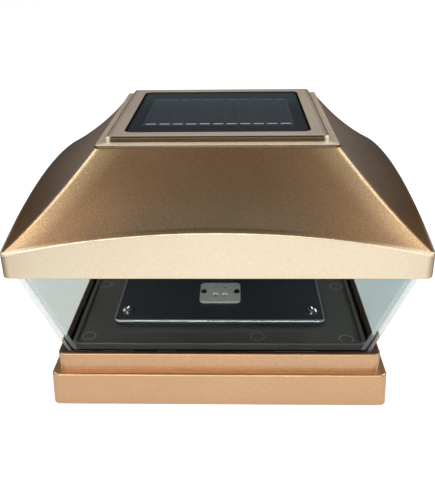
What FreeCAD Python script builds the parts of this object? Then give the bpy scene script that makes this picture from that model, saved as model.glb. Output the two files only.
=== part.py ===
"""Solar post cap light: a lantern head that drops over a square timber post.

Frame: origin at the middle of the foot rim, +Z up, +X to the right, -Y towards the viewer.
Millimetres throughout.  Every size below sits in the sheet, once.
"""
import FreeCAD
import Part
import Sketcher
import math
import os
import re
from FreeCAD import Placement, Rotation, Vector

DIMENSIONS = {
    # post socket and the two-step foot
    "socket_width": 145.5,
    "socket_corner": 1.5,
    "foot_wall": 3.25,
    "base_flare": 0.6,
    "base_height": 16.1,
    "base_corner": 3.4,
    "base_round": 1.2,
    "step_inset": 3.1,
    "plinth_rise": 8.9,
    "plinth_round": 0.8,
    "deck_thickness": 2.5,
    "lip_depth": 1.0,
    "ledge_shelf": 6.6,
    "rim_wall": 2.3,
    "cavity_corner": 2.0,
    "rib_spacing": 45.0,
    "rib_thickness": 2.0,
    "rib_height": 1.9,
    "rib_start": 3.0,
    # clear lens, an upside-down frustum
    "lens_play": 0.9,
    "lens_lean": 0.296,
    "lens_wall": 2.1,
    "lens_height": 49.0,
    "lens_corner": 3.0,
    "seal_height": 0.8,
    "seal_width": 2.4,
    "seal_gap": 0.1,
    "foot_seal_height": 0.9,
    # hood
    "hood_gap": 0.4,
    "hood_wall": 2.2,
    "skirt_lap": 2.7,
    "hood_corner": 3.0,
    "inner_corner": 2.0,
    "skirt_round": 0.8,
    "skirt_height": 10.6,
    "eave_rise": 9.6,
    "eave_radius": 0.8,
    "roof_rise": 33.5,
    "hip_sag": 2.2,
    "face_sag": 1.4,
    "hip_radius": 4.0,
    "tier_width": 104.2,
    "tier_rise": 1.3,
    "tier_corner": 2.0,
    "tier_round": 0.9,
    "crown_width": 95.6,
    "crown_rise": 2.6,
    "crown_round": 1.1,
    "attic_step": 1.9,
    "attic_width": 98.0,
    "attic_cover": 6.4,
    "boss_reach": 64.0,
    "boss_width": 9.0,
    "boss_cover": 1.1,
    # reflector that closes the hood from below
    "reflector_thickness": 1.8,
    "reflector_gap": 0.6,
    # solar panel
    "panel_width": 80.0,
    "panel_corner": 3.0,
    "panel_gap": 0.9,
    "panel_recess": 3.2,
    "panel_window": 68.0,
    "window_corner": 2.0,
    "tape_thickness": 0.6,
    "tape_width": 4.0,
    "tape_inset": 0.8,
    "backing_thickness": 1.4,
    "cell_thickness": 0.25,
    "cell_pitch": 6.15,
    "cell_width": 5.7,
    "cell_length": 56.0,
    "cell_count": 11,
    "cell_margin": 0.5,
    "busbar_reach": 24.5,
    "busbar_length": 4.56,
    "busbar_width": 0.9,
    "busbar_thickness": 0.1,
    "cover_sink": 0.3,
    "cover_round": 0.4,
    # smoked tray
    "tray_gap": 0.3,
    "tray_thickness": 1.8,
    "tray_lip": 2.0,
    "tray_lip_height": 1.4,
    "tray_corner": 3.0,
    "tray_well_corner": 1.5,
    "tray_lip_round": 0.5,
    "tray_boss_width": 7.0,
    "tray_boss_gap": 1.0,
    # equipment box and the raised light plate
    "box_margin": 14.8,
    "box_wall": 1.8,
    "box_floor": 2.0,
    "box_rise": 0.5,
    "box_corner": 2.4,
    "box_inner_corner": 1.2,
    "box_gap": 0.4,
    "flange_lip": 5.8,
    "flange_thickness": 2.0,
    "flange_screw_along": 60.0,
    "tower_width": 7.0,
    "tower_inset_across": 4.2,
    "tower_inset_along": 7.7,
    "plate_lip": 1.5,
    "gasket_height": 0.8,
    "plate_thickness": 2.2,
    "plate_corner": 3.0,
    "plate_edge": 0.8,
    # light boards
    "board_across": 20.5,
    "board_along": 19.5,
    "board_corner": 2.5,
    "board_thickness": 1.0,
    "board_reach": 24.5,
    "board_screw": 8.4,
    "led_across": 2.9,
    "led_along": 5.7,
    "led_height": 0.8,
    "led_pitch": 4.55,
    "phosphor_height": 0.15,
    "phosphor_rim": 0.4,
    "phosphor_corner": 0.6,
    "lead_pass": 3.6,
    "lead_pass_step": 6.2,
    # hollow tie tube with its nuts
    "tube_outer": 10.0,
    "tube_inner": 7.5,
    "tube_lift": 0.2,
    "tube_reach": 3.4,
    "tube_gap": 0.2,
    "tube_window": 4.6,
    "nut_flats": 14.0,
    "nut_height": 3.0,
    "washer_width": 18.0,
    "washer_thickness": 0.8,
    "cup_width": 20.0,
    "cup_height": 2.4,
    "cup_wall": 1.8,
    # battery bay with its door
    "bay_across": 50.4,
    "bay_along": 23.2,
    "bay_centre": -26.0,
    "bay_wall": 4.4,
    "bay_sink": 2.3,
    "door_thickness": 1.5,
    "door_lap": 2.5,
    "door_gap": 0.3,
    "lug_place": 20.0,
    "lug_step": 3.5,
    "lug_across": 8.4,
    "lug_along": 7.4,
    "lug_thickness": 3.0,
    "lug_sink": 1.5,
    "lug_neck": 2.0,
    "lug_boss": 11.0,
    "lug_boss_height": 7.0,
    "tongue_spacing": 30.0,
    "tongue_across": 5.4,
    "tongue_along": 2.4,
    "tongue_thickness": 1.1,
    "tongue_step": 2.2,
    "notch_across": 6.2,
    "notch_along": 4.0,
    "notch_depth": 2.4,
    "notch_step": 1.8,
    "grip_across": 16.0,
    "grip_width": 0.9,
    "grip_depth": 0.4,
    "grip_pitch": 1.8,
    "grip_count": 3,
    "grip_step": 4.0,
    # battery cells, contacts and springs
    "cell_diameter": 10.5,
    "cell_body": 43.7,
    "cell_nub": 0.8,
    "cell_nub_width": 5.5,
    "cell_lift": 7.1,
    "cell_spacing": 11.2,
    "contact_thickness": 0.5,
    "contact_width": 9.0,
    "contact_height": 9.0,
    "contact_lift": 3.0,
    "bridge_lift": 8.0,
    "bridge_height": 3.0,
    "spring_wire": 0.8,
    "spring_radius": 2.6,
    "spring_turns": 3,
    "spring_gap": 0.05,
    # slide switch
    "switch_inset": 12.2,
    "switch_to_bay": 1.4,
    "switch_centre_y": -26.0,
    "switch_across": 12.0,
    "switch_along": 7.4,
    "switch_height": 5.0,
    "switch_travel": 3.4,
    "track_height": 1.9,
    "knob_across": 3.0,
    "knob_along": 2.8,
    "carrier_across": 5.0,
    "carrier_along": 4.6,
    "carrier_height": 1.3,
    "slide_play": 0.4,
    "slide_end_play": 0.5,
    "slide_gap": 0.3,
    "dish_across": 14.0,
    "dish_along": 8.0,
    "dish_depth": 0.8,
    "dish_corner": 2.0,
    # control board and what it carries
    "control_front": 14.0,
    "control_margin": 3.4,
    "control_inset": 9.4,
    "control_lift": 2.0,
    "control_thickness": 1.6,
    "peg_inset": 3.5,
    "peg_width": 5.0,
    "driver_across": 5.0,
    "driver_along": 4.0,
    "driver_height": 1.6,
    "driver_x": -10.0,
    "driver_y": 2.0,
    "coil_width": 7.6,
    "coil_height": 4.2,
    "coil_x": -22.0,
    "coil_y": 3.0,
    "can_width": 6.3,
    "can_height": 6.0,
    "can_x": 20.0,
    "can_y": 4.0,
    "header_across": 7.5,
    "header_along": 6.0,
    "header_height": 5.6,
    "header_step": 6.0,
    "plug_across": 6.4,
    "plug_along": 4.0,
    "plug_height": 4.4,
    "plug_lift": 1.0,
    # screws: head, dome, shank and length, and the clearances of their holes
    "plate_screw_head": 5.4,
    "plate_screw_dome": 1.9,
    "plate_screw_shank": 2.7,
    "plate_screw_length": 10.0,
    "board_screw_head": 3.0,
    "board_screw_dome": 1.1,
    "board_screw_shank": 1.5,
    "board_screw_length": 3.0,
    "flange_screw_head": 5.0,
    "flange_screw_dome": 1.8,
    "flange_screw_shank": 2.2,
    "flange_screw_length": 3.8,
    "circuit_screw_head": 3.8,
    "circuit_screw_dome": 1.3,
    "circuit_screw_shank": 1.5,
    "circuit_screw_length": 3.2,
    "tray_screw_head": 5.2,
    "tray_screw_dome": 1.4,
    "tray_screw_shank": 2.4,
    "tray_screw_length": 7.0,
    "tray_screw_sink": 1.7,
    "hood_screw_head": 5.4,
    "hood_screw_dome": 1.9,
    "hood_screw_shank": 2.6,
    "hood_screw_length": 12.0,
    "door_screw_head": 4.6,
    "door_screw_dome": 1.3,
    "door_screw_shank": 2.2,
    "door_screw_length": 6.0,
    "pilot_gap": 0.1,
    "pass_gap": 0.6,
    "screw_end_gap": 0.4,
    # two-wire leads
    "lead_lift": 3.8,
    "panel_wire": 1.6,
    "panel_wire_pitch": 2.24,
    "board_wire": 1.0,
    "board_wire_pitch": 1.6,
    "battery_wire": 1.2,
    "battery_wire_pitch": 2.0,
}
# levels and widths that follow from the sizes above
DERIVED = {
    "deck_bottom": "base_height - deck_thickness",
    "plinth_top": "base_height + plinth_rise",
    "ledge_level": "plinth_top - lip_depth",
    "lens_top": "ledge_level + lens_height",
    "hood_bottom": "lens_top - skirt_lap",
    "eave_corner": "hood_bottom + skirt_height",
    "roof_top": "eave_corner + roof_rise",
    "tier_top": "roof_top + tier_rise",
    "crown_top": "tier_top + crown_rise",
    "cover_top": "crown_top - cover_sink",
    "attic_bottom": "reflector_top + attic_step",
    "attic_top": "roof_top - attic_cover",
    "box_width": "cavity_width - 2 * box_margin",
    "box_top": "ledge_level + tray_thickness + box_rise",
    "plate_bottom": "box_top + gasket_height",
    "plate_top": "plate_bottom + plate_thickness",
    "tube_bottom": "deck_bottom + tube_lift",
    "tube_top": "reflector_top + nut_height + tube_reach",
    "cup_roof": "box_inside + cup_height",
    "bay_top": "box_top - bay_sink",
    "cell_axis": "deck_bottom + cell_lift",
    "control_bottom": "box_inside + control_lift",
    "lead_level": "control_top + lead_lift",
    "base_width": "socket_width + 2 * foot_wall",
    "plinth_width": "base_width - 2 * step_inset",
    "ledge_width": "plinth_width - 2 * rim_wall",
    "cavity_width": "ledge_width - 2 * ledge_shelf",
    "lens_foot": "ledge_width - 2 * lens_play",
    "lens_span": "lens_foot + 2 * lens_lean * (lens_top - ledge_level)",
    "hood_width": "lens_span + 2 * (hood_gap + hood_wall)",
    "hood_bore": "hood_width - 2 * hood_wall",
    "tray_width": "lens_foot - 2 * lens_wall - 2 * tray_gap",
    "tray_boss": "cavity_width / 2 - tray_boss_width / 2 - tray_boss_gap",
    "box_opening": "box_width + 2 * box_gap",
    "flange_width": "box_width + 2 * flange_lip",
    "flange_screw_x": "(flange_width + box_width) / 4",
    "plate_width": "box_width + 2 * plate_lip",
    "tower_across": "box_width - 2 * tower_inset_across",
    "tower_along": "box_width - 2 * tower_inset_along",
    "switch_centre_x": "box_width / 2 - switch_inset",
    "bay_middle": "switch_centre_x - switch_across / 2 - switch_to_bay - bay_across / 2 - bay_wall",
    "bay_edge": "bay_centre - bay_along / 2",
    "lug_x": "bay_middle + lug_place",
    "lug_y": "bay_centre + bay_along / 2 + door_lap + lug_step",
    "tongue_x": "bay_middle - tongue_spacing / 2",
    "control_along": "box_width / 2 - box_wall - control_margin - control_front",
    "control_centre": "control_front + control_along / 2",
    "control_across": "box_width - 2 * box_wall - 2 * control_inset",
    "control_top": "control_bottom + control_thickness",
    "peg_across": "control_across - 2 * peg_inset",
    "peg_along": "control_along - 2 * peg_inset",
    "tube_pass": "tube_outer + 2 * tube_gap",
    "seal_top": "lens_top + seal_height",
    "reflector_top": "seal_top + reflector_thickness",
    "panel_ledge": "crown_top - panel_recess",
    "backing_bottom": "panel_ledge + tape_thickness",
    "panel_face": "backing_bottom + backing_thickness",
    "led_level": "plate_top + board_thickness",
    "box_inside": "deck_bottom + box_floor",
    "lead_pass_reach": "board_reach - lead_pass_step",
}
# shares of a screw's head: flat crown, height of the rim, and the two bars of its cross
CROWN_SHARE = 0.32
RIM_SHARE = 0.45
CROSS_LONG = 0.56
CROSS_WIDE = 0.16
FUNCTIONS = {"sqrt", "tan", "cos", "sin"}
PEG_CORNER = ("-peg_across / 2", "control_centre - peg_along / 2")
TOWER_CORNER = ("-tower_across / 2", "-tower_along / 2")
FLANGE_CORNER = ("-flange_screw_x", "-flange_screw_along / 2")
BOSS_CORNER = ("-boss_reach", "-boss_reach")
TRAY_CORNER = ("-tray_boss", "-tray_boss")
LUG = ("lug_x", "lug_y")
BAY = ("bay_middle", "bay_centre")
SWITCH = ("switch_centre_x", "switch_centre_y")

os.makedirs("parts", exist_ok=True)
doc = FreeCAD.newDocument("post_cap_light")
sheet = doc.addObject("Spreadsheet::Sheet", "dims")
for row, (alias, number) in enumerate(DIMENSIONS.items(), start=1):
    sheet.set(f"A{row}", alias)
    sheet.set(f"B{row}", str(number))
    sheet.setAlias(f"B{row}", alias)
doc.recompute()

sub_parts = []


# ---------------------------------------------------------------- sheet helpers
def formula(text):
    """A formula on the sheet's names, as the document spells it."""
    def spell(match):
        word = match.group(0)
        if word in DERIVED:
            return f"({formula(DERIVED[word])})"
        return word if word in FUNCTIONS else f"dims.{word}"
    return re.sub(r"[a-z_]{3,}[a-z_0-9]*", spell, str(text))


def size(text):
    """The present number behind a formula."""
    result = sheet.evalExpression(formula(text))
    return float(getattr(result, "Value", result))


def bind(thing, **properties):
    for name, text in properties.items():
        thing.setExpression(name.replace("__", "."), formula(text))


def seat(thing, place=("0", "0", "0"), prefix="Placement"):
    for axis, text in zip("xyz", place):
        if str(text) != "0":
            thing.setExpression(f"{prefix}.Base.{axis}", formula(text))


# ---------------------------------------------------------------- body helpers
def new_body(name, place=("0", "0", "0")):
    body = doc.addObject("PartDesign::Body", name)
    body.Label = name
    body.AllowCompound = True
    seat(body, place)
    sub_parts.append(body)
    return body


def origin_item(body, role):
    return next(item for item in body.Origin.OriginFeatures if item.Role == role)


def new_sketch(body, name, level="0", centre=("0", "0"), plane="XY_Plane"):
    sketch = body.newObject("Sketcher::SketchObject", name)
    sketch.AttachmentSupport = (origin_item(body, plane), [""])
    sketch.MapMode = "FlatFace"
    seat(sketch, (centre[0], centre[1], level), prefix="AttachmentOffset")
    return sketch


def hold(sketch, kind, *refs, name=None, text=None):
    """Add a constraint; with a name and formula it is driven by the sheet."""
    if text is None:
        return sketch.addConstraint(Sketcher.Constraint(kind, *refs))
    index = sketch.addConstraint(Sketcher.Constraint(kind, *refs, size(text)))
    sketch.renameConstraint(index, name)
    sketch.setExpression(f"Constraints.{name}", formula(text))
    return index


def draw_rectangle(sketch, across, along, radius=None, tag=""):
    """A rectangle about the sketch's own origin, with or without rounded corners."""
    half_x = size(across) / 2
    half_y = size(along) / 2
    r = size(radius) if radius else 0.0
    first = sketch.GeometryCount
    runs = (
        ((-half_x + r, -half_y), (half_x - r, -half_y)),
        ((half_x, -half_y + r), (half_x, half_y - r)),
        ((half_x - r, half_y), (-half_x + r, half_y)),
        ((-half_x, half_y - r), (-half_x, -half_y + r)),
    )
    for start, end in runs:
        sketch.addGeometry(Part.LineSegment(Vector(*start, 0), Vector(*end, 0)), False)
    sides = [first + n for n in range(4)]
    if radius:
        centres = ((half_x - r, -half_y + r), (half_x - r, half_y - r),
                   (-half_x + r, half_y - r), (-half_x + r, -half_y + r))
        for n, centre in enumerate(centres):
            circle = Part.Circle(Vector(*centre, 0), Vector(0, 0, 1), r)
            turn = math.radians(90 * n - 90)
            sketch.addGeometry(Part.ArcOfCircle(circle, turn, turn + math.pi / 2), False)
        for n in range(4):
            arc = first + 4 + n
            hold(sketch, "Tangent", sides[n], 2, arc, 1)
            hold(sketch, "Tangent", arc, 2, sides[(n + 1) % 4], 1)
            if n:
                hold(sketch, "Equal", first + 4, arc)
        hold(sketch, "Radius", first + 4, name=f"radius{tag}", text=radius)
    else:
        for n in range(4):
            hold(sketch, "Coincident", sides[n], 2, sides[(n + 1) % 4], 1)
    hold(sketch, "Vertical", sides[1])
    hold(sketch, "Horizontal", sides[2])
    hold(sketch, "Symmetric", sides[0], 1, sides[0], 2, -2)
    hold(sketch, "Symmetric", sides[3], 1, sides[3], 2, -1)
    hold(sketch, "DistanceX", sides[3], 1, sides[1], 1, name=f"across{tag}", text=across)
    hold(sketch, "DistanceY", sides[0], 1, sides[2], 1, name=f"along{tag}", text=along)


def draw_circle(sketch, diameter, tag=""):
    index = sketch.addGeometry(Part.Circle(Vector(), Vector(0, 0, 1), size(diameter) / 2), False)
    hold(sketch, "Coincident", index, 3, -1, 1)
    hold(sketch, "Diameter", index, name=f"diameter{tag}", text=diameter)


def draw_profile(sketch, points):
    """A closed outline of straight runs; every corner is placed by the sheet."""
    numbers = [Vector(size(x), size(y), 0) for x, y in points]
    count = len(points)
    for n in range(count):
        sketch.addGeometry(Part.LineSegment(numbers[n], numbers[(n + 1) % count]), False)
    for n in range(count):
        hold(sketch, "Coincident", n, 2, (n + 1) % count, 1)
    for n, (x, y) in enumerate(points):
        for kind, text in (("DistanceX", x), ("DistanceY", y)):
            hold(sketch, kind, -1, 1, n, 1, name=f"{kind[-1].lower()}{n}", text=text)


def pad(body, sketch, length, down=False):
    feature = body.newObject("PartDesign::Pad", f"{sketch.Name}_pad")
    feature.Profile = sketch
    feature.Reversed = down
    bind(feature, Length=length)
    return feature


def pocket(body, sketch, depth, up=False):
    """Cut from the sketch; down into the body unless it is told to go up."""
    before = volume(body)
    feature = body.newObject("PartDesign::Pocket", f"{sketch.Name}_cut")
    feature.Profile = sketch
    feature.Reversed = up
    bind(feature, Length=depth)
    doc.recompute()
    if not volume(body) < before - 1e-6:
        raise RuntimeError(f"{feature.Name} cuts nothing")
    return feature


def volume(body):
    doc.recompute()
    return body.Shape.Volume


def slab(body, name, level, height, across, along=None, radius=None, centre=("0", "0")):
    sketch = new_sketch(body, name, level, centre)
    draw_rectangle(sketch, across, along or across, radius)
    return pad(body, sketch, height)


def slot(body, name, level, height, across, along=None, radius=None, centre=("0", "0")):
    """Take a rectangular block out of the body, from level upwards."""
    sketch = new_sketch(body, name, level, centre)
    draw_rectangle(sketch, across, along or across, radius)
    return pocket(body, sketch, height, up=True)


def post(body, name, level, height, diameter, centre=("0", "0")):
    sketch = new_sketch(body, name, level, centre)
    draw_circle(sketch, diameter)
    return pad(body, sketch, height)


def bore(body, name, level, height, diameter, centre=("0", "0")):
    """Drill a round hole from level upwards."""
    sketch = new_sketch(body, name, level, centre)
    draw_circle(sketch, diameter)
    return pocket(body, sketch, height, up=True)


def around(body, *features):
    """Repeat features on the four sides."""
    pattern = body.newObject("PartDesign::PolarPattern", f"{features[0].Name}_around")
    pattern.Originals = list(features)
    pattern.Axis = (origin_item(body, "Z_Axis"), [""])
    pattern.Angle = 360
    pattern.Occurrences = 4
    body.Tip = pattern
    doc.recompute()
    return pattern


def in_rows(body, features, across=None, along=None, counts=("2", "2")):
    """Repeat features in a row, or in a rectangle of rows."""
    steps = []
    for axis, length, count in (("X_Axis", across, counts[0]), ("Y_Axis", along, counts[1])):
        if length is None:
            continue
        step = doc.addObject("PartDesign::LinearPattern", f"{features[0].Name}_{axis[0].lower()}")
        step.Direction = (origin_item(body, axis), [""])
        bind(step, Length=length, Occurrences=count)
        steps.append(step)
    pattern = body.newObject("PartDesign::MultiTransform", f"{features[0].Name}_rows")
    pattern.Originals = list(features)
    pattern.Transformations = steps
    for step in steps:
        body.addObject(step)
    body.Tip = pattern
    doc.recompute()
    return pattern


def edges_where(shape, test):
    return [f"Edge{n}" for n, edge in enumerate(shape.Edges, start=1) if test(edge)]


def round_edges(body, name, radius, test):
    doc.recompute()
    tip = body.Tip
    found = edges_where(tip.Shape, test)
    if not found:
        raise RuntimeError(f"{name} finds no edge")
    feature = body.newObject("PartDesign::Fillet", name)
    feature.Base = (tip, found)
    bind(feature, Radius=radius)
    body.Tip = feature
    doc.recompute()
    return feature


def at_level(text, least=1.0):
    level = size(text)
    return lambda edge: edge.Length > least and all(
        abs(vertex.Z - level) < 0.01 for vertex in edge.Vertexes)


def beyond(level, reach):
    """Edges at a level that reach further from the middle than a limit."""
    flat = at_level(level)
    limit = size(reach)
    return lambda edge: flat(edge) and max(max(abs(v.X), abs(v.Y)) for v in edge.Vertexes) > limit


def pilot(family):
    """The hole that a screw of this family bites into."""
    return f"{family}_shank + pilot_gap"


def clear_hole(family):
    return f"{family}_shank + pass_gap"


def ring(name, level, height, outer, inner, radius, inner_radius=None):
    """A flat square ring, as a seal or a strip of tape."""
    body = new_body(name)
    slab(body, f"{name}_outer", level, height, outer, radius=radius)
    slot(body, f"{name}_inner", level, height, inner, radius=inner_radius)
    return body


def shaped(name, shape):
    """A sub-part whose form follows a path, worked out from the sheet's present numbers."""
    feature = doc.addObject("Part::Feature", name)
    feature.Label = name
    feature.Shape = shape
    sub_parts.append(feature)
    return feature


# ---------------------------------------------------------------- foot
def base_shell():
    body = new_body("base_shell")
    lower = new_sketch(body, "foot")
    draw_rectangle(lower, "base_width + 2 * base_flare", "base_width + 2 * base_flare", "base_corner")
    upper = new_sketch(body, "foot_top", "base_height")
    draw_rectangle(upper, "base_width", "base_width", "base_corner")
    tier = body.newObject("PartDesign::AdditiveLoft", "tier")
    tier.Profile = lower
    tier.Sections = [upper]
    tier.Ruled = True
    doc.recompute()
    deck = "base_height - deck_bottom"
    slab(body, "plinth", "base_height", "plinth_top - base_height", "plinth_width", radius="base_corner")
    slot(body, "socket", "0", "deck_bottom", "socket_width", radius="socket_corner")
    slot(body, "cavity", "base_height", "plinth_top - base_height", "cavity_width", radius="cavity_corner")
    slot(body, "lens_seat", "ledge_level", "plinth_top - ledge_level", "ledge_width", radius="lens_corner")
    slot(body, "deck_opening", "deck_bottom", deck, "box_opening", radius="box_corner")
    ribs = []
    for place in (-1, 0, 1):
        rib = slab(body, f"rib{place + 1}", "rib_start", "deck_bottom - rib_start",
                   "rib_thickness", "rib_height",
                   centre=(f"{place} * rib_spacing", "(rib_height - socket_width) / 2"))
        ribs.append(rib)
    around(body, *ribs)
    hole = bore(body, "flange_hole", "deck_bottom + screw_end_gap", deck, pilot("flange_screw"),
                FLANGE_CORNER)
    in_rows(body, [hole], across="2 * flange_screw_x", along="flange_screw_along")
    shank = bore(body, "tray_screw_hole", "deck_bottom", deck, clear_hole("tray_screw"), TRAY_CORNER)
    head = bore(body, "tray_screw_sunk", "deck_bottom", "tray_screw_sink", "tray_screw_head + pass_gap",
                TRAY_CORNER)
    around(body, shank, head)
    round_edges(body, "step_edge", "base_round", beyond("base_height", "plinth_width / 2 + 1"))
    round_edges(body, "plinth_edge", "plinth_round", beyond("plinth_top", "ledge_width / 2 + 1"))
    return body


def floor_tray():
    body = new_body("floor_tray")
    floor_top = "ledge_level + tray_thickness"
    slab(body, "tray", "ledge_level", "tray_thickness + tray_lip_height", "tray_width",
         radius="tray_corner")
    slot(body, "tray_well", floor_top, "2 * tray_lip_height",
         "tray_width - 2 * tray_lip", radius="tray_well_corner")
    slot(body, "tray_opening", "ledge_level", "tray_thickness", "box_opening", radius="box_corner")
    rise = "ledge_level - base_height"
    boss = post(body, "tray_post", "base_height", rise, "tray_boss_width", TRAY_CORNER)
    hole = bore(body, "tray_post_hole", "base_height", rise, pilot("tray_screw"), TRAY_CORNER)
    around(body, boss, hole)
    round_edges(body, "lip_edge", "tray_lip_round", at_level(f"{floor_top} + tray_lip_height"))
    return body


# ---------------------------------------------------------------- lens
def lens():
    body = new_body("lens")
    for name, inset, corner, kind in (
            ("glass", "0", "lens_corner", "AdditiveLoft"),
            ("hollow", "2 * lens_wall", "lens_corner - lens_wall / 2", "SubtractiveLoft")):
        lower = new_sketch(body, f"{name}_foot", "ledge_level")
        foot = f"lens_foot - {inset}"
        draw_rectangle(lower, foot, foot, corner)
        upper = new_sketch(body, f"{name}_top", "lens_top")
        wide = f"lens_span - {inset}"
        draw_rectangle(upper, wide, wide, corner)
        loft = body.newObject(f"PartDesign::{kind}", name)
        loft.Profile = lower
        loft.Sections = [upper]
        loft.Ruled = True
        doc.recompute()
    return body


# ---------------------------------------------------------------- hood
# where a roof face is cut across, from just past the skirt up to the tier
ROOF_SHARES = (1.02, 0.5, 0)


def mirrored(body, feature, plane):
    """Repeat a feature on the other side of one of the body's own planes."""
    copy = body.newObject("PartDesign::Mirrored", f"{feature.Name}_opposite")
    copy.Originals = [feature]
    copy.MirrorPlane = (origin_item(body, plane), [""])
    body.Tip = copy
    doc.recompute()
    return copy


def roof_section(body, name, share, plane):
    """What is cut away above one roof face, across the face at a share of its run."""
    half = f"(tier_width / 2 + (hood_width - tier_width) / 2 * {share})"
    bow = f"(4 * {share} * (1 - {share}))"
    low = f"(roof_top + (eave_corner - roof_top) * {share} - hip_sag * {bow})"
    rise = f"(eave_rise * {share} + (hip_sag - face_sag) * {bow})"
    reach = "(hood_width * 0.62)"
    top = "(crown_top + 10)"
    sketch = new_sketch(body, name, half, plane=plane)
    wide = size(reach)
    high = size(top)
    if share == 0:
        corner = size(low)
        curve = Part.LineSegment(Vector(-wide, corner, 0), Vector(wide, corner, 0))
        left, right = 1, 2
    else:
        radius = size(f"({half} ^ 2 + {rise} ^ 2) / (2 * {rise})")
        middle = size(f"{low} + {rise}") - radius
        corner = middle + math.sqrt(radius ** 2 - wide ** 2)
        turn = math.asin(wide / radius)
        circle = Part.Circle(Vector(0, middle, 0), Vector(0, 0, 1), radius)
        curve = Part.ArcOfCircle(circle, math.pi / 2 - turn, math.pi / 2 + turn)
        left, right = 2, 1
    sketch.addGeometry(curve, False)
    corners = (Vector(wide, corner, 0), Vector(wide, high, 0), Vector(-wide, high, 0),
               Vector(-wide, corner, 0))
    for start, end in zip(corners, corners[1:]):
        sketch.addGeometry(Part.LineSegment(start, end), False)
    hold(sketch, "Coincident", 0, right, 1, 1)
    hold(sketch, "Coincident", 1, 2, 2, 1)
    hold(sketch, "Coincident", 2, 2, 3, 1)
    hold(sketch, "Coincident", 3, 2, 0, left)
    hold(sketch, "Vertical", 1)
    hold(sketch, "Vertical", 3)
    hold(sketch, "Symmetric", 2, 1, 2, 2, -2)
    hold(sketch, "DistanceX", 2, 2, 2, 1, name="reach", text=f"2 * {reach}")
    hold(sketch, "DistanceY", -1, 1, 2, 1, name="top", text=top)
    if share == 0:
        hold(sketch, "Horizontal", 0)
        hold(sketch, "DistanceY", -1, 1, 0, 1, name="low", text=low)
    else:
        hold(sketch, "PointOnObject", 0, 3, -2)
        curve_radius = f"({half} ^ 2 + {rise} ^ 2) / (2 * {rise})"
        hold(sketch, "Radius", 0, name="bend", text=curve_radius)
        hold(sketch, "DistanceY", 0, 3, -1, 1, name="drop", text=f"{curve_radius} - {low} - {rise}")
    return sketch


def is_hip(edge):
    ends = [vertex.Point for vertex in edge.Vertexes]
    return all(abs(abs(p.x) - abs(p.y)) < 1 for p in ends) and abs(ends[0].z - ends[1].z) > 15


def is_eave(edge):
    low = size("eave_corner") - 2
    high = size("eave_corner + eave_rise") + 2
    return edge.Length > size("hood_width") / 2 and all(low < v.Z < high for v in edge.Vertexes)


def hood_shell():
    body = new_body("hood_shell")
    slab(body, "skirt", "hood_bottom", "roof_top - hood_bottom", "hood_width", radius="hood_corner")
    for tag, plane in (("front", "XZ_Plane"), ("side", "YZ_Plane")):
        before = volume(body)
        sections = []
        for n, share in enumerate(ROOF_SHARES):
            sections.append(roof_section(body, f"{tag}_roof{n}", share, plane))
        face = body.newObject("PartDesign::SubtractiveLoft", f"{tag}_roof_face")
        face.Profile = sections[0]
        face.Sections = sections[1:]
        mirrored(body, face, plane)
        if not volume(body) < before:
            raise RuntimeError(f"{face.Name} cuts nothing")
    round_edges(body, "hip_round", "hip_radius", is_hip)
    round_edges(body, "eave_round", "eave_radius", is_eave)
    slab(body, "tier", "roof_top", "tier_top - roof_top", "tier_width", radius="tier_corner")
    slab(body, "crown", "tier_top", "crown_top - tier_top", "crown_width", radius="tier_corner")
    round_edges(body, "tier_edge", "tier_round", beyond("tier_top", "crown_width / 2 + 1"))
    round_edges(body, "crown_edge", "crown_round", at_level("crown_top"))
    slot(body, "panel_seat", "panel_ledge", "panel_recess",
         "panel_width + 2 * panel_gap", radius="panel_corner + panel_gap")
    slot(body, "panel_opening", "attic_top", "crown_top - attic_top", "panel_window",
         radius="window_corner")
    slot(body, "skirt_bore", "hood_bottom", "attic_bottom - hood_bottom", "hood_bore",
         radius="inner_corner")
    lower = new_sketch(body, "attic_foot", "attic_bottom")
    draw_rectangle(lower, "hood_bore", "hood_bore", "inner_corner")
    upper = new_sketch(body, "attic_roof", "attic_top")
    draw_rectangle(upper, "attic_width", "attic_width", "inner_corner")
    attic = body.newObject("PartDesign::SubtractiveLoft", "attic")
    attic.Profile = lower
    attic.Sections = [upper]
    attic.Ruled = True
    doc.recompute()
    # each boss ends under the hip, at the roof's level over the boss's outer edge
    share = "((2 * boss_reach + boss_width - tier_width) / (hood_width - tier_width))"
    hip = f"roof_top + (eave_corner - roof_top) * {share} - hip_sag * 4 * {share} * (1 - {share})"
    boss = post(body, "hood_boss", "reflector_top", f"{hip} - boss_cover - reflector_top", "boss_width",
                BOSS_CORNER)
    hole = bore(body, "hood_boss_hole", "reflector_top", "hood_screw_length + screw_end_gap",
                pilot("hood_screw"), BOSS_CORNER)
    around(body, boss, hole)
    round_edges(body, "skirt_edge", "skirt_round", beyond("hood_bottom", "hood_bore / 2 + 1"))
    return body


def reflector():
    body = new_body("reflector")
    slab(body, "sheet", "seal_top", "reflector_thickness", "hood_bore - 2 * reflector_gap",
         radius="inner_corner")
    bore(body, "reflector_tube_pass", "seal_top", "reflector_thickness", "tube_pass")
    hole = bore(body, "screw_pass", "seal_top", "reflector_thickness", clear_hole("hood_screw"),
                BOSS_CORNER)
    around(body, hole)
    return body


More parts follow.
